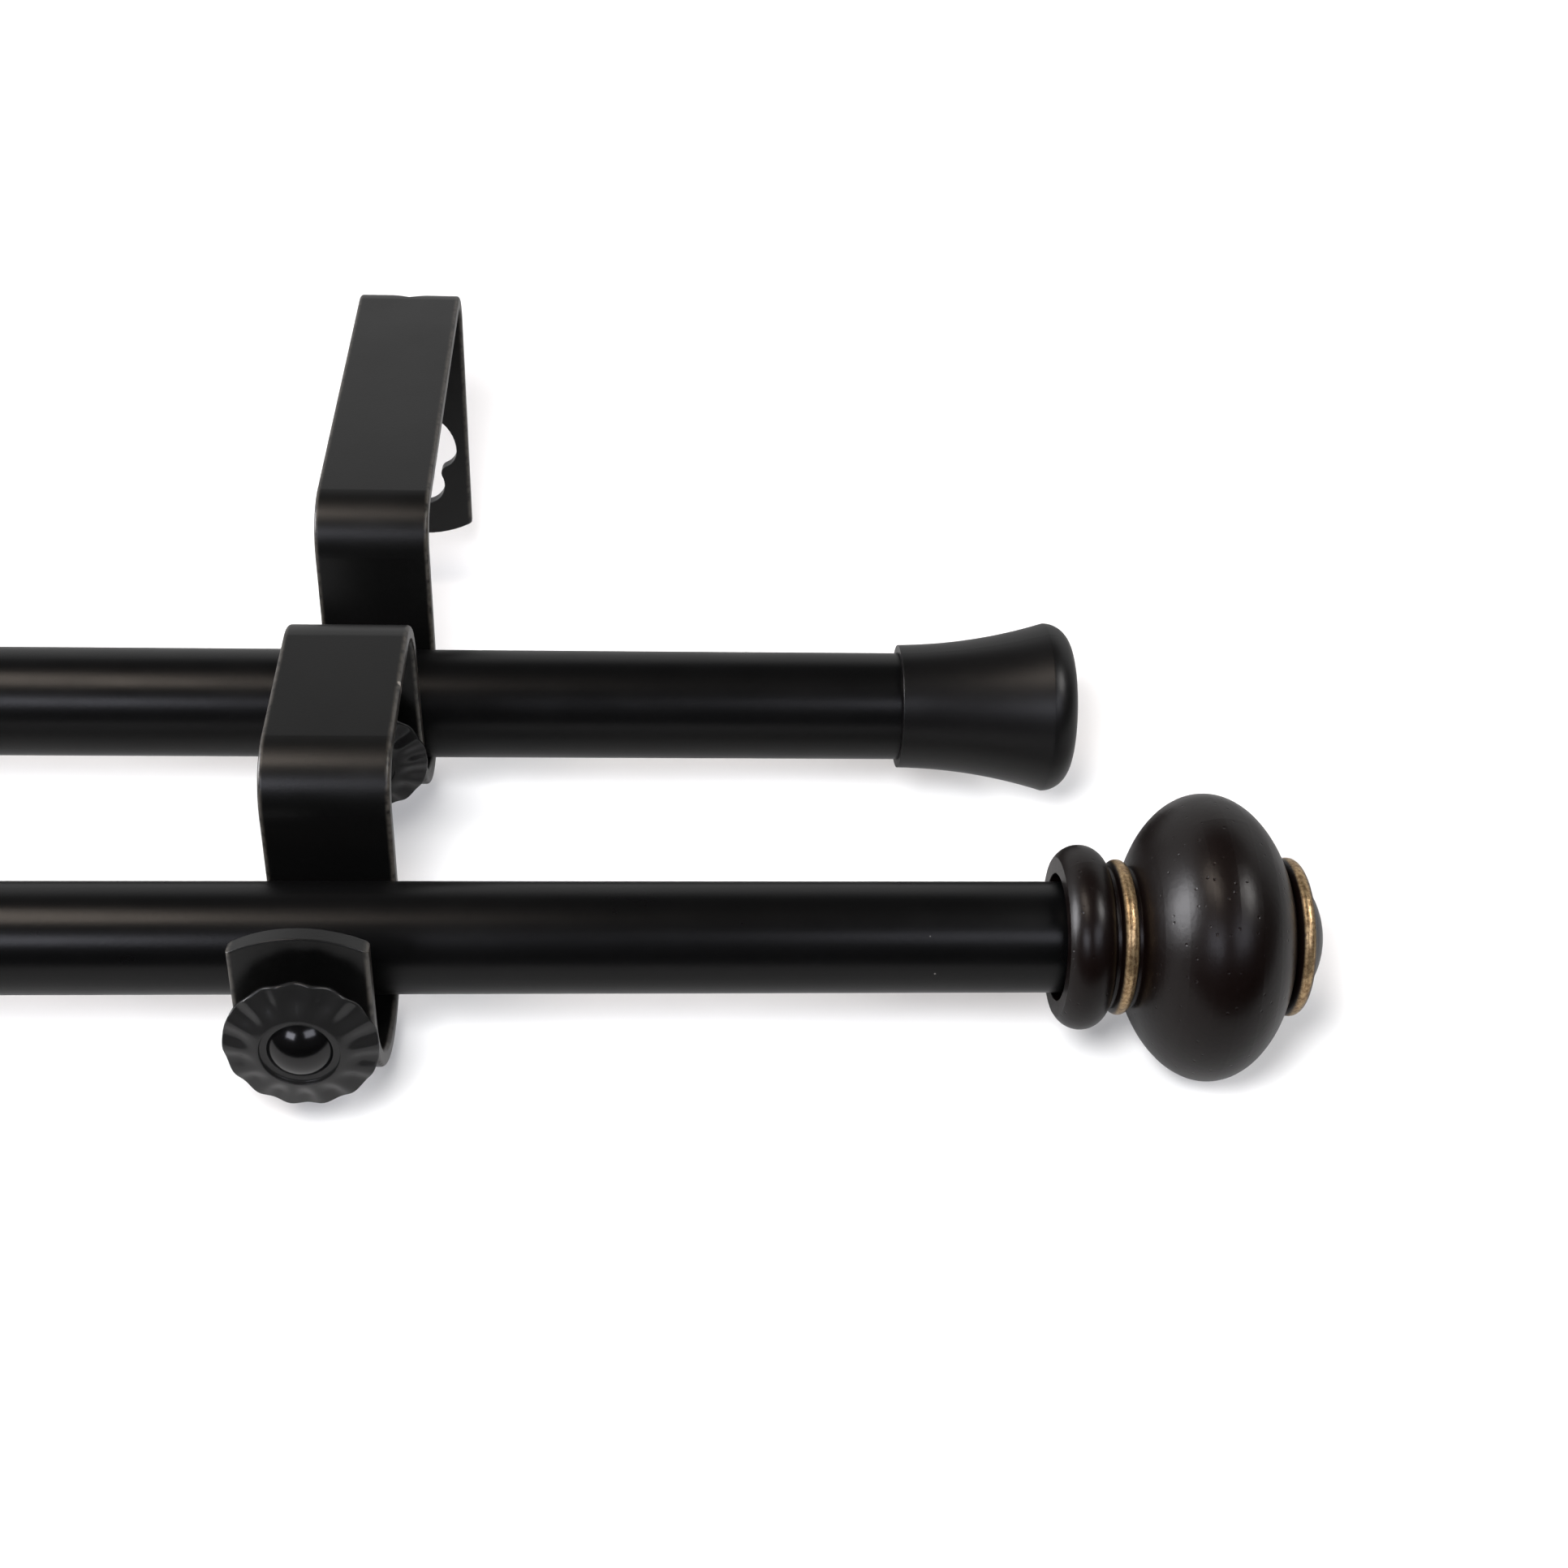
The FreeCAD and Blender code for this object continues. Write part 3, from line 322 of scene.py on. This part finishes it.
finial_resin, tree, surface, film, bumps = finish(
    "finial_resin", RESIN, roughness=0.33, grain_mm=1.0, bump_mm=0.02, specular=0.28, drift=0.05,
    soft_edge_mm=0.25)
spot = add(tree, "ShaderNodeTexCoord").outputs["Object"]
axes = add(tree, "ShaderNodeSeparateXYZ", {0: spot})
along = calc(tree, "SUBTRACT", calc(tree, "ABSOLUTE", axes.outputs["X"]), COLLAR_FACE)
masks = []
for low, high in (BEAD_BAND, RING_BAND):
    rise = step(tree, along, low - BAND_SOFT, low + BAND_SOFT)
    fall = step(tree, along, high + BAND_SOFT, high - BAND_SOFT)
    masks.append(calc(tree, "MULTIPLY", rise, fall))
band = calc(tree, "MAXIMUM", *masks)
rub = add(tree, "ShaderNodeTexNoise", {
    "Vector": spot, "Scale": RUB_PER_METRE, "Detail": RUB_DETAIL, "Roughness": RUB_ROUGHNESS}).outputs["Fac"]
worn = add(tree, "ShaderNodeTexNoise",
           {"Vector": spot, "Scale": WORN_PER_METRE, "Detail": WORN_DETAIL}).outputs["Fac"]
rubbed = calc(tree, "MULTIPLY_ADD", worn, WORN_WEIGHT, calc(tree, "MULTIPLY", rub, RUB_WEIGHT))
gilded = calc(tree, "MULTIPLY", band, step(tree, rubbed, *BARE_RANGE))
tone = blend(tree, step(tree, rub, *GOLD_TONES), GOLD_SHADE, GOLD)
tree.links.new(blend(tree, gilded, (*RESIN, 1), tone), surface.inputs["Base Color"])
tree.links.new(calc(tree, "MULTIPLY", gilded, GOLD_METAL), surface.inputs["Metallic"])
print("gold bands", len(masks))

# %% [markdown]
# The casting also has pits where small bubbles sat in the mould, and the gold stands up in fine
# grains. Both are too small to model, so they join the orange peel in the height of one bump.

# %% Pits in the casting
PIT_MM = 1.5
PIT_SHARE = 0.45
PIT_RANGE = (0.22, 0.04)
PIT_DEPTH = 2.5
GOLD_GRAIN = 2.0

cells = add(tree, "ShaderNodeTexVoronoi", {"Vector": spot, "Scale": 1 / (PIT_MM * MM)})
pick = add(tree, "ShaderNodeSeparateColor", {0: cells.outputs["Color"]})
pitted = calc(tree, "LESS_THAN", pick.outputs[0], PIT_SHARE)
pit = calc(tree, "MULTIPLY", pitted, step(tree, cells.outputs["Distance"], *PIT_RANGE))
gold_grain = calc(tree, "MULTIPLY", rub, calc(tree, "MULTIPLY", gilded, GOLD_GRAIN))
grain = calc(tree, "ADD", film.outputs["Height"], gold_grain)
tree.links.new(calc(tree, "SUBTRACT", grain, calc(tree, "MULTIPLY", pit, PIT_DEPTH)), bumps.inputs["Height"])
print("pits in", PIT_SHARE, "of cells", PIT_MM, "mm wide")

# %% [markdown]
# The studs that hold the finials are bright zinc-plated steel, with the faint spangle of the
# plating. They are hidden while the finials are on, and are seen only when the parts are taken
# apart. One noise drives both the tint and the gloss, because each grain of zinc has its own.

# %% Stud steel
SPANGLE_PER_METRE = 700.0
SPANGLE_DETAIL = 3.0
SPANGLE_RANGE = (0.35, 0.65)
ZINC_DARK = (0.46, 0.46, 0.48, 1)
ZINC_LIGHT = (0.62, 0.62, 0.61, 1)
ZINC_SMOOTH = 0.22
ZINC_DULL = 0.42

stud_steel = bpy.data.materials.new("stud_steel")
stud_steel.use_nodes = True
tree = stud_steel.node_tree
plating = tree.nodes["Principled BSDF"]
plating.inputs["Metallic"].default_value = 1.0
spot = add(tree, "ShaderNodeTexCoord").outputs["Object"]
spangle = add(tree, "ShaderNodeTexNoise",
              {"Vector": spot, "Scale": SPANGLE_PER_METRE, "Detail": SPANGLE_DETAIL}).outputs["Fac"]
zinc = blend(tree, step(tree, spangle, *SPANGLE_RANGE), ZINC_DARK, ZINC_LIGHT)
dull = add(tree, "ShaderNodeMapRange", {"Value": spangle, "To Min": ZINC_SMOOTH, "To Max": ZINC_DULL})
tree.links.new(zinc, plating.inputs["Base Color"])
tree.links.new(dull.outputs[0], plating.inputs["Roughness"])
print("finish", stud_steel.name)

# %% [markdown]
# Each solid comes with a plain stand-in finish. The part's name says what it is made of, so a
# table from a word in the name to the finish paints all of them in one loop. The first word that
# fits counts, so a tube's plug is found before the tube and a finial's stud before the finial.

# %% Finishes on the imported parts
FINISHES = {
    "bracket": strap_paint, "plug": plug_plastic, "stud": stud_steel, "finial": finial_resin,
    "cap": cap_plastic, "tube": tube_paint, "disc": thumb_paint, "screw": dome_paint,
}
for name, part in nodes.items():
    part.data.materials.clear()
    part.data.materials.append(next(paint for word, paint in FINISHES.items() if word in name))
print("painted", len(nodes))

# %% [markdown]
# A thumbscrew is a domed screw pressed into a corrugated disc, and there are four of them. Their
# places could be typed in, but the record already has each joint's axis. The disc's hub, which is
# its end towards the wall, gives the point on that axis from which both pieces are measured: along
# +Z to the screw's tip and along -Z to its dome.

# %% Where each thumbscrew sits
THUMBSCREWS = [(pole, side) for pole in ("front", "back") for side in ("left", "right")]


def thumb_frame(disc):
    """The place of a thumbscrew: origin at the disc's hub, +Z along the screw to its tip."""
    joint = next(item for item in record["behaviour"]["joints"] if item["name"] == disc + "_turn")
    axis = Vector(joint["axis"]).normalized()
    point = Vector(joint["pos_m"])
    reach = max((corner.co - point).dot(axis) for corner in nodes[disc].data.vertices)
    upward = (Vector((0, 0, 1)) - axis * axis.z).normalized()
    turn = Matrix((upward, axis.cross(upward), axis)).transposed().to_4x4()
    return Matrix.Translation(point + axis * reach) @ turn


for pole, side in THUMBSCREWS:
    hub_place = thumb_frame(f"{pole}_disc_{side}").translation
    print(pole, side, "hub at", [round(value / MM, 1) for value in hub_place], "mm")

# %% [markdown]
# Both pieces are round, so both start as a section, the outline of a cut through the axis. Real
# edges are never quite sharp, and a small rounding catches the light, so one helper rounds the
# section's corners, and takes less than half of each stretch so that two roundings never meet.
# Another one turns the section about the axis, and may push each point along the axis as it goes,
# which gives the disc its wave.

# %% Turned sections
LONGEST_SHARE = 0.45


def rounded(profile, radius, pieces):
    """The same polyline with its corners rounded."""
    points = [profile[0]]
    for before, corner, after in zip(profile, profile[1:], profile[2:]):
        corner_at = Vector(corner)
        first = Vector(before) - corner_at
        second = Vector(after) - corner_at
        reach = min(radius, first.length * LONGEST_SHARE, second.length * LONGEST_SHARE)
        start = corner_at + first.normalized() * reach
        end = corner_at + second.normalized() * reach
        for piece in range(pieces + 1):
            t = piece / pieces
            points.append(tuple(start * (1 - t) ** 2 + corner_at * 2 * t * (1 - t) + end * t ** 2))
    points.append(profile[-1])
    return points


def turned_skin(name, profile, sweep, columns, wave=None):
    """A skin made by turning points of a section, whose radius and height come first, about Z."""
    points = []
    for column in range(columns + 1):
        angle = sweep * column / columns
        for point in profile:
            radius, height = point[:2]
            shift = wave(point, angle) if wave else 0.0
            points.append((radius * math.cos(angle), radius * math.sin(angle), height + shift))
    count = len(profile)
    faces = []
    for column in range(columns):
        for row in range(count - 1):
            start = column * count + row
            faces.append((start, start + 1, start + count + 1, start + count))
    mesh = bpy.data.meshes.new(name)
    mesh.from_pydata(points, [], faces)
    return mesh


print("helpers", rounded.__name__, turned_skin.__name__)

# %% [markdown]
# What repeats on these pieces, the disc's waves and the thread's turns, is made by geometry nodes.
# A modifier could stay live on the piece, but a library part is easier to use as a plain mesh. So
# this helper sets the tree's inputs by their identifiers, takes the finished mesh and removes the
# modifier.

# %% From a node tree to a plain mesh
SHAPE = "NodeSocketGeometry"
PAINT = "NodeSocketMaterial"
SHARP = math.radians(35)


def grown(name, mesh, tree, values, place):
    """What a geometry node tree makes of a mesh, as a plain smooth mesh set at its place."""
    holder = bpy.data.objects.new(name, mesh)
    scene.collection.objects.link(holder)
    modifier = holder.modifiers.new(tree.name, "NODES")
    modifier.node_group = tree
    for item in tree.interface.items_tree:
        if item.in_out == "INPUT" and item.name in values:
            modifier[item.identifier] = values[item.name]
    holder.update_tag()
    result = bpy.data.meshes.new_from_object(holder.evaluated_get(bpy.context.evaluated_depsgraph_get()))
    holder.modifiers.clear()
    holder.data = result
    result.name = name
    result.transform(place)
    result.shade_smooth()
    result.set_sharp_from_angle(angle=SHARP)
    print(name, len(result.polygons), "faces")
    return holder


print("helper", grown.__name__)

# %% [markdown]
# The disc is pressed from thin sheet: a shallow cone with a dish in its middle and 14 waves in its
# outer part, front and back together, so that its rim waves too. A bump could fake the waves, but
# the rim would stay flat against the light. So the section carries, beside radius and height, how
# far each face draws in towards the middle of the sheet where the wave is full. Its sizes are those
# of the solid that it replaces.

# %% Section of a thumb disc
DISC_RADIUS = 11.8 * MM
DISC_HUB = 6.6 * MM
DISC_DISH = 6.1 * MM
DISC_BORE = 2.45 * MM
HUB_LENGTH = 1.4 * MM
DISC_RIM = 1.2 * MM
DISC_CONE = 1.7 * MM
DISH_DEPTH = 0.7 * MM
FLUTES = 14
FLUTE_DEPTH = 0.6 * MM
FLUTE_START = 6.5 * MM
FLUTE_FULL = 9.6 * MM
EDGE_ROUND = 0.28 * MM
EDGE_PIECES = 3
SPOKE_POINTS = 10

half_depth = FLUTE_DEPTH / 2
slope = DISC_CONE / (DISC_RADIUS - DISC_DISH)
dish_floor = DISH_DEPTH - (HUB_LENGTH + DISC_RIM + DISC_CONE)


def cone(radius):
    """How far the cone has risen at a radius, from the rim inwards."""
    return slope * (DISC_RADIUS - radius)


shares = [point / (SPOKE_POINTS - 1) for point in range(SPOKE_POINTS)]
back_radii = [DISC_HUB + (DISC_RADIUS - DISC_HUB) * share for share in shares]
back = [(radius, -HUB_LENGTH - cone(radius), -half_depth) for radius in back_radii]
front_radii = [DISC_RADIUS - (DISC_RADIUS - DISC_DISH) * share for share in shares]
front = [(radius, -HUB_LENGTH - DISC_RIM - cone(radius), half_depth) for radius in front_radii]
hub = [(DISC_BORE, 0.0, 0.0), (DISC_HUB, 0.0, 0.0)]
dish = [(DISC_DISH, dish_floor, 0.0), (DISC_BORE, dish_floor, 0.0), (DISC_BORE, 0.0, 0.0)]
section = rounded(hub + back + front + dish, EDGE_ROUND, EDGE_PIECES)
print("disc section", len(section), "points")

# %% [markdown]
# All 14 waves are alike, so only one is drawn: the section turned through a fourteenth of a circle.
# A node tree sets copies of that sector round the axis and welds them into one closed sheet.

# %% Node tree that closes the ring
ring_tree, ring_in, ring_out = named_tree(
    "sectors_round_axis", "GeometryNodeTree",
    {"Geometry": SHAPE, "Count": "NodeSocketInt", "Weld": FLOAT, "Paint": PAINT}, {"Geometry": SHAPE})
turns = add(ring_tree, "GeometryNodePoints", {"Count": ring_in.outputs["Count"]})
number = add(ring_tree, "GeometryNodeInputIndex").outputs[0]
whole_turns = calc(ring_tree, "MULTIPLY", number, 2 * math.pi)
part_turn = calc(ring_tree, "DIVIDE", whole_turns, ring_in.outputs["Count"])
spin = add(ring_tree, "ShaderNodeCombineXYZ", {"Z": part_turn})
copies = add(ring_tree, "GeometryNodeInstanceOnPoints", {
    "Points": turns.outputs[0], "Instance": ring_in.outputs["Geometry"], "Rotation": spin.outputs[0]})
solid = add(ring_tree, "GeometryNodeRealizeInstances", {"Geometry": copies.outputs[0]})
welded = add(ring_tree, "GeometryNodeMergeByDistance", {
    "Geometry": solid.outputs[0], "Distance": ring_in.outputs["Weld"]})
painted = add(ring_tree, "GeometryNodeSetMaterial", {
    "Geometry": welded.outputs[0], "Material": ring_in.outputs["Paint"]})
ring_tree.links.new(painted.outputs[0], ring_out.inputs["Geometry"])
print("tree", ring_tree.name)

# %% [markdown]
# The wave is a plain cosine. It dies out towards the dish, which stays smooth. Each finished disc
# takes the place of its solid and turns with it.

# %% Corrugated discs
SECTOR_COLUMNS = 10
SECTOR_WELD = 0.01 * MM


def ripple(point, angle):
    """The pressed wave, about a sheet that is thinner than the cone; it dies out towards the dish."""
    radius, _, inset = point
    share = min(max((radius - FLUTE_START) / (FLUTE_FULL - FLUTE_START), 0.0), 1.0)
    return share * share * (3 - 2 * share) * (inset + half_depth * math.cos(FLUTES * angle))


for pole, side in THUMBSCREWS:
    disc = f"{pole}_disc_{side}"
    sector = turned_skin(disc + "_sector", section, 2 * math.pi / FLUTES, SECTOR_COLUMNS, ripple)
    values = {"Count": FLUTES, "Weld": SECTOR_WELD, "Paint": thumb_paint}
    made_disc = grown(disc + "_pressed", sector, ring_tree, values, thumb_frame(disc))
    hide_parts(disc)
    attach(made_disc, disc)

# %% [markdown]
# The screw's shank carries a rolled thread. Rings stacked along the shank would look alike from
# afar, but a real thread climbs. So a node tree sweeps a ridge along a spiral that climbs one pitch
# a turn, and joins it to the thinner core that it is given.

# %% Node tree that rolls the thread
THREAD_STEPS = 28
RIDGE_SIDES = 6
CORE_WELD = 0.001 * MM

thread_tree, thread_in, thread_out = named_tree(
    "rolled_thread", "GeometryNodeTree",
    {"Geometry": SHAPE, "Start": FLOAT, "Length": FLOAT, "Pitch": FLOAT, "Radius": FLOAT, "Depth": FLOAT,
     "Paint": PAINT}, {"Geometry": SHAPE})
rounds = calc(thread_tree, "DIVIDE", thread_in.outputs["Length"], thread_in.outputs["Pitch"])
middle = calc(thread_tree, "SUBTRACT", thread_in.outputs["Radius"], thread_in.outputs["Depth"])
spiral = add(thread_tree, "GeometryNodeCurveSpiral", {
    "Resolution": THREAD_STEPS, "Rotations": rounds, "Start Radius": middle, "End Radius": middle,
    "Height": thread_in.outputs["Length"]})
ridge = add(thread_tree, "GeometryNodeCurvePrimitiveCircle", {
    "Resolution": RIDGE_SIDES, "Radius": thread_in.outputs["Depth"]})
swept = add(thread_tree, "GeometryNodeCurveToMesh", {
    "Curve": spiral.outputs[0], "Profile Curve": ridge.outputs[0], "Fill Caps": True})
lift = add(thread_tree, "ShaderNodeCombineXYZ", {"Z": thread_in.outputs["Start"]})
moved = add(thread_tree, "GeometryNodeTransform", {
    "Geometry": swept.outputs[0], "Translation": lift.outputs[0]})
core = add(thread_tree, "GeometryNodeMergeByDistance", {
    "Geometry": thread_in.outputs["Geometry"], "Distance": CORE_WELD})
joined = add(thread_tree, "GeometryNodeJoinGeometry")
thread_tree.links.new(moved.outputs[0], joined.inputs[0])
thread_tree.links.new(core.outputs[0], joined.inputs[0])
solid = add(thread_tree, "GeometryNodeRealizeInstances", {"Geometry": joined.outputs[0]})
painted = add(thread_tree, "GeometryNodeSetMaterial", {
    "Geometry": solid.outputs[0], "Material": thread_in.outputs["Paint"]})
thread_tree.links.new(painted.outputs[0], thread_out.inputs["Geometry"])
print("tree", thread_tree.name)

# %% [markdown]
# The screw's head is a low dome, a cap of a sphere whose radius follows from the head's width and
# height. Its points lie closer together near the rim, where the dome is steepest.

# %% Dome of a screw
HEAD_RADIUS = 5.0 * MM
HEAD_HEIGHT = 2.4 * MM
DOME_POINTS = 15

sphere = (HEAD_RADIUS ** 2 + HEAD_HEIGHT ** 2) / (2 * HEAD_HEIGHT)
dome = []
for point in range(DOME_POINTS):
    radius = HEAD_RADIUS * math.cos(math.pi / 2 * point / (DOME_POINTS - 1))
    dome.append((radius, dish_floor - HEAD_HEIGHT + sphere - math.sqrt(sphere ** 2 - radius ** 2)))
print("dome of a sphere of", round(sphere / MM, 2), "mm")

# %% [markdown]
# Front and back screws differ in length, so each one's tip is measured on its solid. Tip, core,
# head and dome make one section, which is turned whole, and the thread leaves a plain stretch at
# each end, as rolling does. Each finished screw takes the place of its solid and moves with it.

# %% Threaded screws
SCREW_RADIUS = 2.4 * MM
TIP_RADIUS = 1.9 * MM
TIP_LENGTH = 0.4 * MM
TIP_ROUND = 0.1 * MM
TIP_PIECES = 2
PITCH = 0.8 * MM
THREAD_DEPTH = 0.42 * MM
THREAD_START = 0.2 * MM
PLAIN_LENGTH = 1.0 * MM
SCREW_COLUMNS = 72
CORE_RADIUS = SCREW_RADIUS - THREAD_DEPTH

for pole, side in THUMBSCREWS:
    screw = f"{pole}_screw_{side}"
    place = thumb_frame(f"{pole}_disc_{side}")
    to_thumb = place.inverted()
    tip = max((to_thumb @ corner.co).z for corner in nodes[screw].data.vertices)
    shank = [(0.0, tip), (TIP_RADIUS, tip), (CORE_RADIUS, tip - TIP_LENGTH),
             (CORE_RADIUS, dish_floor), (HEAD_RADIUS, dish_floor)]
    profile = rounded(shank, TIP_ROUND, TIP_PIECES) + dome[1:]
    body = turned_skin(screw + "_body", profile, 2 * math.pi, SCREW_COLUMNS)
    values = {"Start": THREAD_START, "Length": tip - PLAIN_LENGTH, "Pitch": PITCH,
              "Radius": SCREW_RADIUS, "Depth": THREAD_DEPTH, "Paint": dome_paint}
    made_screw = grown(screw + "_threaded", body, thread_tree, values, place)
    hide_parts(screw)
    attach(made_screw, screw)

# %% [markdown]
# The poles are held a little above a plain pale floor, which is only a stage and not part of the
# object. A studio would use a curved sweep, but the camera looks down and sees no horizon, so one
# large flat square is enough.

# %% Floor
FLOOR_GAP = 4.0 * MM
FLOOR_SIDE = 12.0

floor_level = cad_box[0].z - FLOOR_GAP
half = FLOOR_SIDE / 2
sheet = bpy.data.meshes.new("floor")
sheet.from_pydata([(-half, -half, floor_level), (half, -half, floor_level), (half, half, floor_level),
                   (-half, half, floor_level)], [], [(0, 1, 2, 3)])
floor = bpy.data.objects.new("floor", sheet)
scene.collection.objects.link(floor)
print("floor at", round(floor_level / MM, 2), "mm")

# %% [markdown]
# The floor glows a little, as a lit white sweep does, and more further away, so that it stays
# white all round the soft shadows. What black gloss mirrors gives it its form: here the pieces
# mirror a dim table top that ends a hand's breadth in front of the poles, with a dark room beyond
# it, so upright faces turn deep black while the tubes' undersides keep a grey band. Black cards
# round a real table do the same. The light path tells apart what is seen and what is mirrored.

# %% White of the floor
FLOOR_WHITE = 0.8
FLOOR_ROUGHNESS = 0.9
FLOOR_GLOW = 0.06
FLOOR_SHEEN = 0.42
TABLE_FRONT = (-0.262, -0.250)
FAR_GLOW = 0.95
GLOW_CENTRE = (0.0, -0.1, 0.0)
GLOW_NEAR = 0.48
GLOW_FAR = 1.10

floor_white = bpy.data.materials.new("floor_white")
floor_white.use_nodes = True
tree = floor_white.node_tree


def sweep(share):
    """The floor's shader at a share of its full white and glow."""
    shader = add(tree, "ShaderNodeBsdfPrincipled", {"Roughness": FLOOR_ROUGHNESS, "Specular IOR Level": 0.0})
    white = FLOOR_WHITE * share
    shader.inputs["Base Color"].default_value = (white, white, white, 1)
    shader.inputs["Emission Color"].default_value = (1, 1, 1, 1)
    shader.inputs["Emission Strength"].default_value = FLOOR_GLOW * share
    return shader


dark_room = sweep(0.0)
dim_table = sweep(FLOOR_SHEEN)
seen_floor = sweep(1.0)
spot = add(tree, "ShaderNodeTexCoord").outputs["Object"]
away = add(tree, "ShaderNodeVectorMath", {0: spot, 1: GLOW_CENTRE}, operation="DISTANCE")
far_lit = add(tree, "ShaderNodeMapRange", {
    "Value": away.outputs["Value"], "From Min": GLOW_NEAR, "From Max": GLOW_FAR,
    "To Min": FLOOR_GLOW, "To Max": FAR_GLOW})
seen_floor.inputs["Emission Strength"].default_value = 1.0
tree.links.new(far_lit.outputs[0], seen_floor.inputs["Emission Color"])
on_table = step(tree, add(tree, "ShaderNodeSeparateXYZ", {0: spot}).outputs["Y"], *TABLE_FRONT)
mirrored = add(tree, "ShaderNodeMixShader", {0: on_table, 1: dark_room.outputs[0], 2: dim_table.outputs[0]})
seen = add(tree, "ShaderNodeLightPath").outputs["Is Camera Ray"]
both = add(tree, "ShaderNodeMixShader", {0: seen, 1: mirrored.outputs[0], 2: seen_floor.outputs[0]})
tree.links.new(both.outputs[0], tree.nodes["Material Output"].inputs["Surface"])
sheet.materials.append(floor_white)
print("finish", floor_white.name)

# %% [markdown]
# The light is that of a small product studio. Two bluish boxes in front, with a gap between them
# where the photographer stands, and a warm one overhead on the left draw the long highlights on
# the poles and the straps' bends. A box at each side models the finial's ball and the cap's flare.
# Each box stands where its mirror image falls on a highlight of the photograph.

# %% Light boxes
AIM = (0.29, -0.14, 0.0)
FINIAL_AIM = (0.38, -0.174, 0.0)
BLUISH = (0.88, 0.89, 1.0)
WARM = (1.0, 0.87, 0.76)
COOL = (0.96, 0.96, 1.0)
MILD = (1.0, 0.98, 0.96)


def softbox(name, place, target, wide, tall, watts, colour):
    """A soft rectangular light that faces a point."""
    lamp = bpy.data.lights.new(name, "AREA")
    lamp.shape = "RECTANGLE"
    lamp.size = wide
    lamp.size_y = tall
    lamp.energy = watts
    lamp.color = colour
    holder = bpy.data.objects.new(name, lamp)
    holder.location = place
    holder.rotation_euler = (Vector(target) - Vector(place)).to_track_quat("-Z", "Y").to_euler()
    holder.visible_camera = False
    scene.collection.objects.link(holder)
    print(name, watts, "W")


softbox("front_right_box", (0.68, -0.90, 0.60), AIM, wide=0.50, tall=0.32, watts=1.9, colour=BLUISH)
softbox("front_left_box", (-0.18, -0.92, 0.50), AIM, wide=0.40, tall=0.26, watts=2.0, colour=BLUISH)
softbox("overhead_left_box", (-0.14, -0.31, 0.95), AIM, wide=0.50, tall=0.26, watts=3.0, colour=WARM)
softbox("side_left_box", (-1.13, -0.08, 0.50), FINIAL_AIM, wide=0.61, tall=0.72, watts=26.0, colour=COOL)
softbox("side_right_box", (0.87, -0.38, 0.72), FINIAL_AIM, wide=0.28, tall=0.28, watts=3.0, colour=MILD)

# %% [markdown]
# One lamp beside the camera, to its upper left, makes the soft shadow that follows every outline
# to the lower right. A lamp so near would fade across the floor, so its falloff is set to constant,
# which lights the floor evenly. It is kept out of the pieces' reflections.

# %% Shadow lamp
KEY_OFFSET = 48 * MM
KEY_SIZE = 100 * MM
KEY_WATTS = 14.0

key = bpy.data.lights.new("shadow_key", "AREA")
key.shape = "DISK"
key.size = KEY_SIZE
key.energy = KEY_WATTS
key.use_nodes = True
even = add(key.node_tree, "ShaderNodeLightFalloff", {"Strength": 1.0}).outputs["Constant"]
key.node_tree.links.new(even, key.node_tree.nodes["Emission"].inputs["Strength"])
key_holder = bpy.data.objects.new("shadow_key", key)
key_holder.location = CAMERA_PLACE + (above - right) * KEY_OFFSET
key_holder.rotation_euler = forward.to_track_quat("-Z", "Y").to_euler()
key_holder.visible_camera = False
key_holder.visible_glossy = False
scene.collection.objects.link(key_holder)
print("shadow_key", KEY_WATTS, "W")

# %% [markdown]
# The pieces mirror a room that is dark in front and overhead, and pale behind, which rims the
# poles' tops. The eye sees it pale all round, so that the pale floor doesn't end in black from any
# side. The standard view keeps the whites white.

# %% Room
ROOM_PALE = 0.9
ROOM_DARK = 0.03
BEHIND_RANGE = (0.0, 0.5)
OVERHEAD_RANGE = (0.84, 0.54)
WALL_RANGE = (0.1, 0.7)
WALL_GLOW = 0.52
WALL_RISE = 0.22

world = bpy.data.worlds.new("studio")
scene.world = world
world.use_nodes = True
room = world.node_tree
look = add(room, "ShaderNodeTexCoord").outputs["Generated"]
axes = add(room, "ShaderNodeSeparateXYZ", {0: look})
behind = step(room, axes.outputs["Y"], *BEHIND_RANGE)
not_overhead = step(room, axes.outputs["Z"], *OVERHEAD_RANGE)
wall = calc(room, "MULTIPLY_ADD", step(room, axes.outputs["Z"], *WALL_RANGE), WALL_RISE, WALL_GLOW)
glow = calc(room, "MULTIPLY_ADD", calc(room, "MULTIPLY", behind, not_overhead), wall, ROOM_DARK)
mirrored_room = room.nodes["Background"]
room.links.new(glow, mirrored_room.inputs["Color"])
seen_room = add(room, "ShaderNodeBackground", {"Color": (ROOM_PALE, ROOM_PALE, ROOM_PALE, 1)})
seen = add(room, "ShaderNodeLightPath").outputs["Is Camera Ray"]
both = add(room, "ShaderNodeMixShader", {0: seen, 1: mirrored_room.outputs[0], 2: seen_room.outputs[0]})
room.links.new(both.outputs[0], room.nodes["World Output"].inputs["Surface"])
scene.view_settings.view_transform = "Standard"
print("room", world.name)
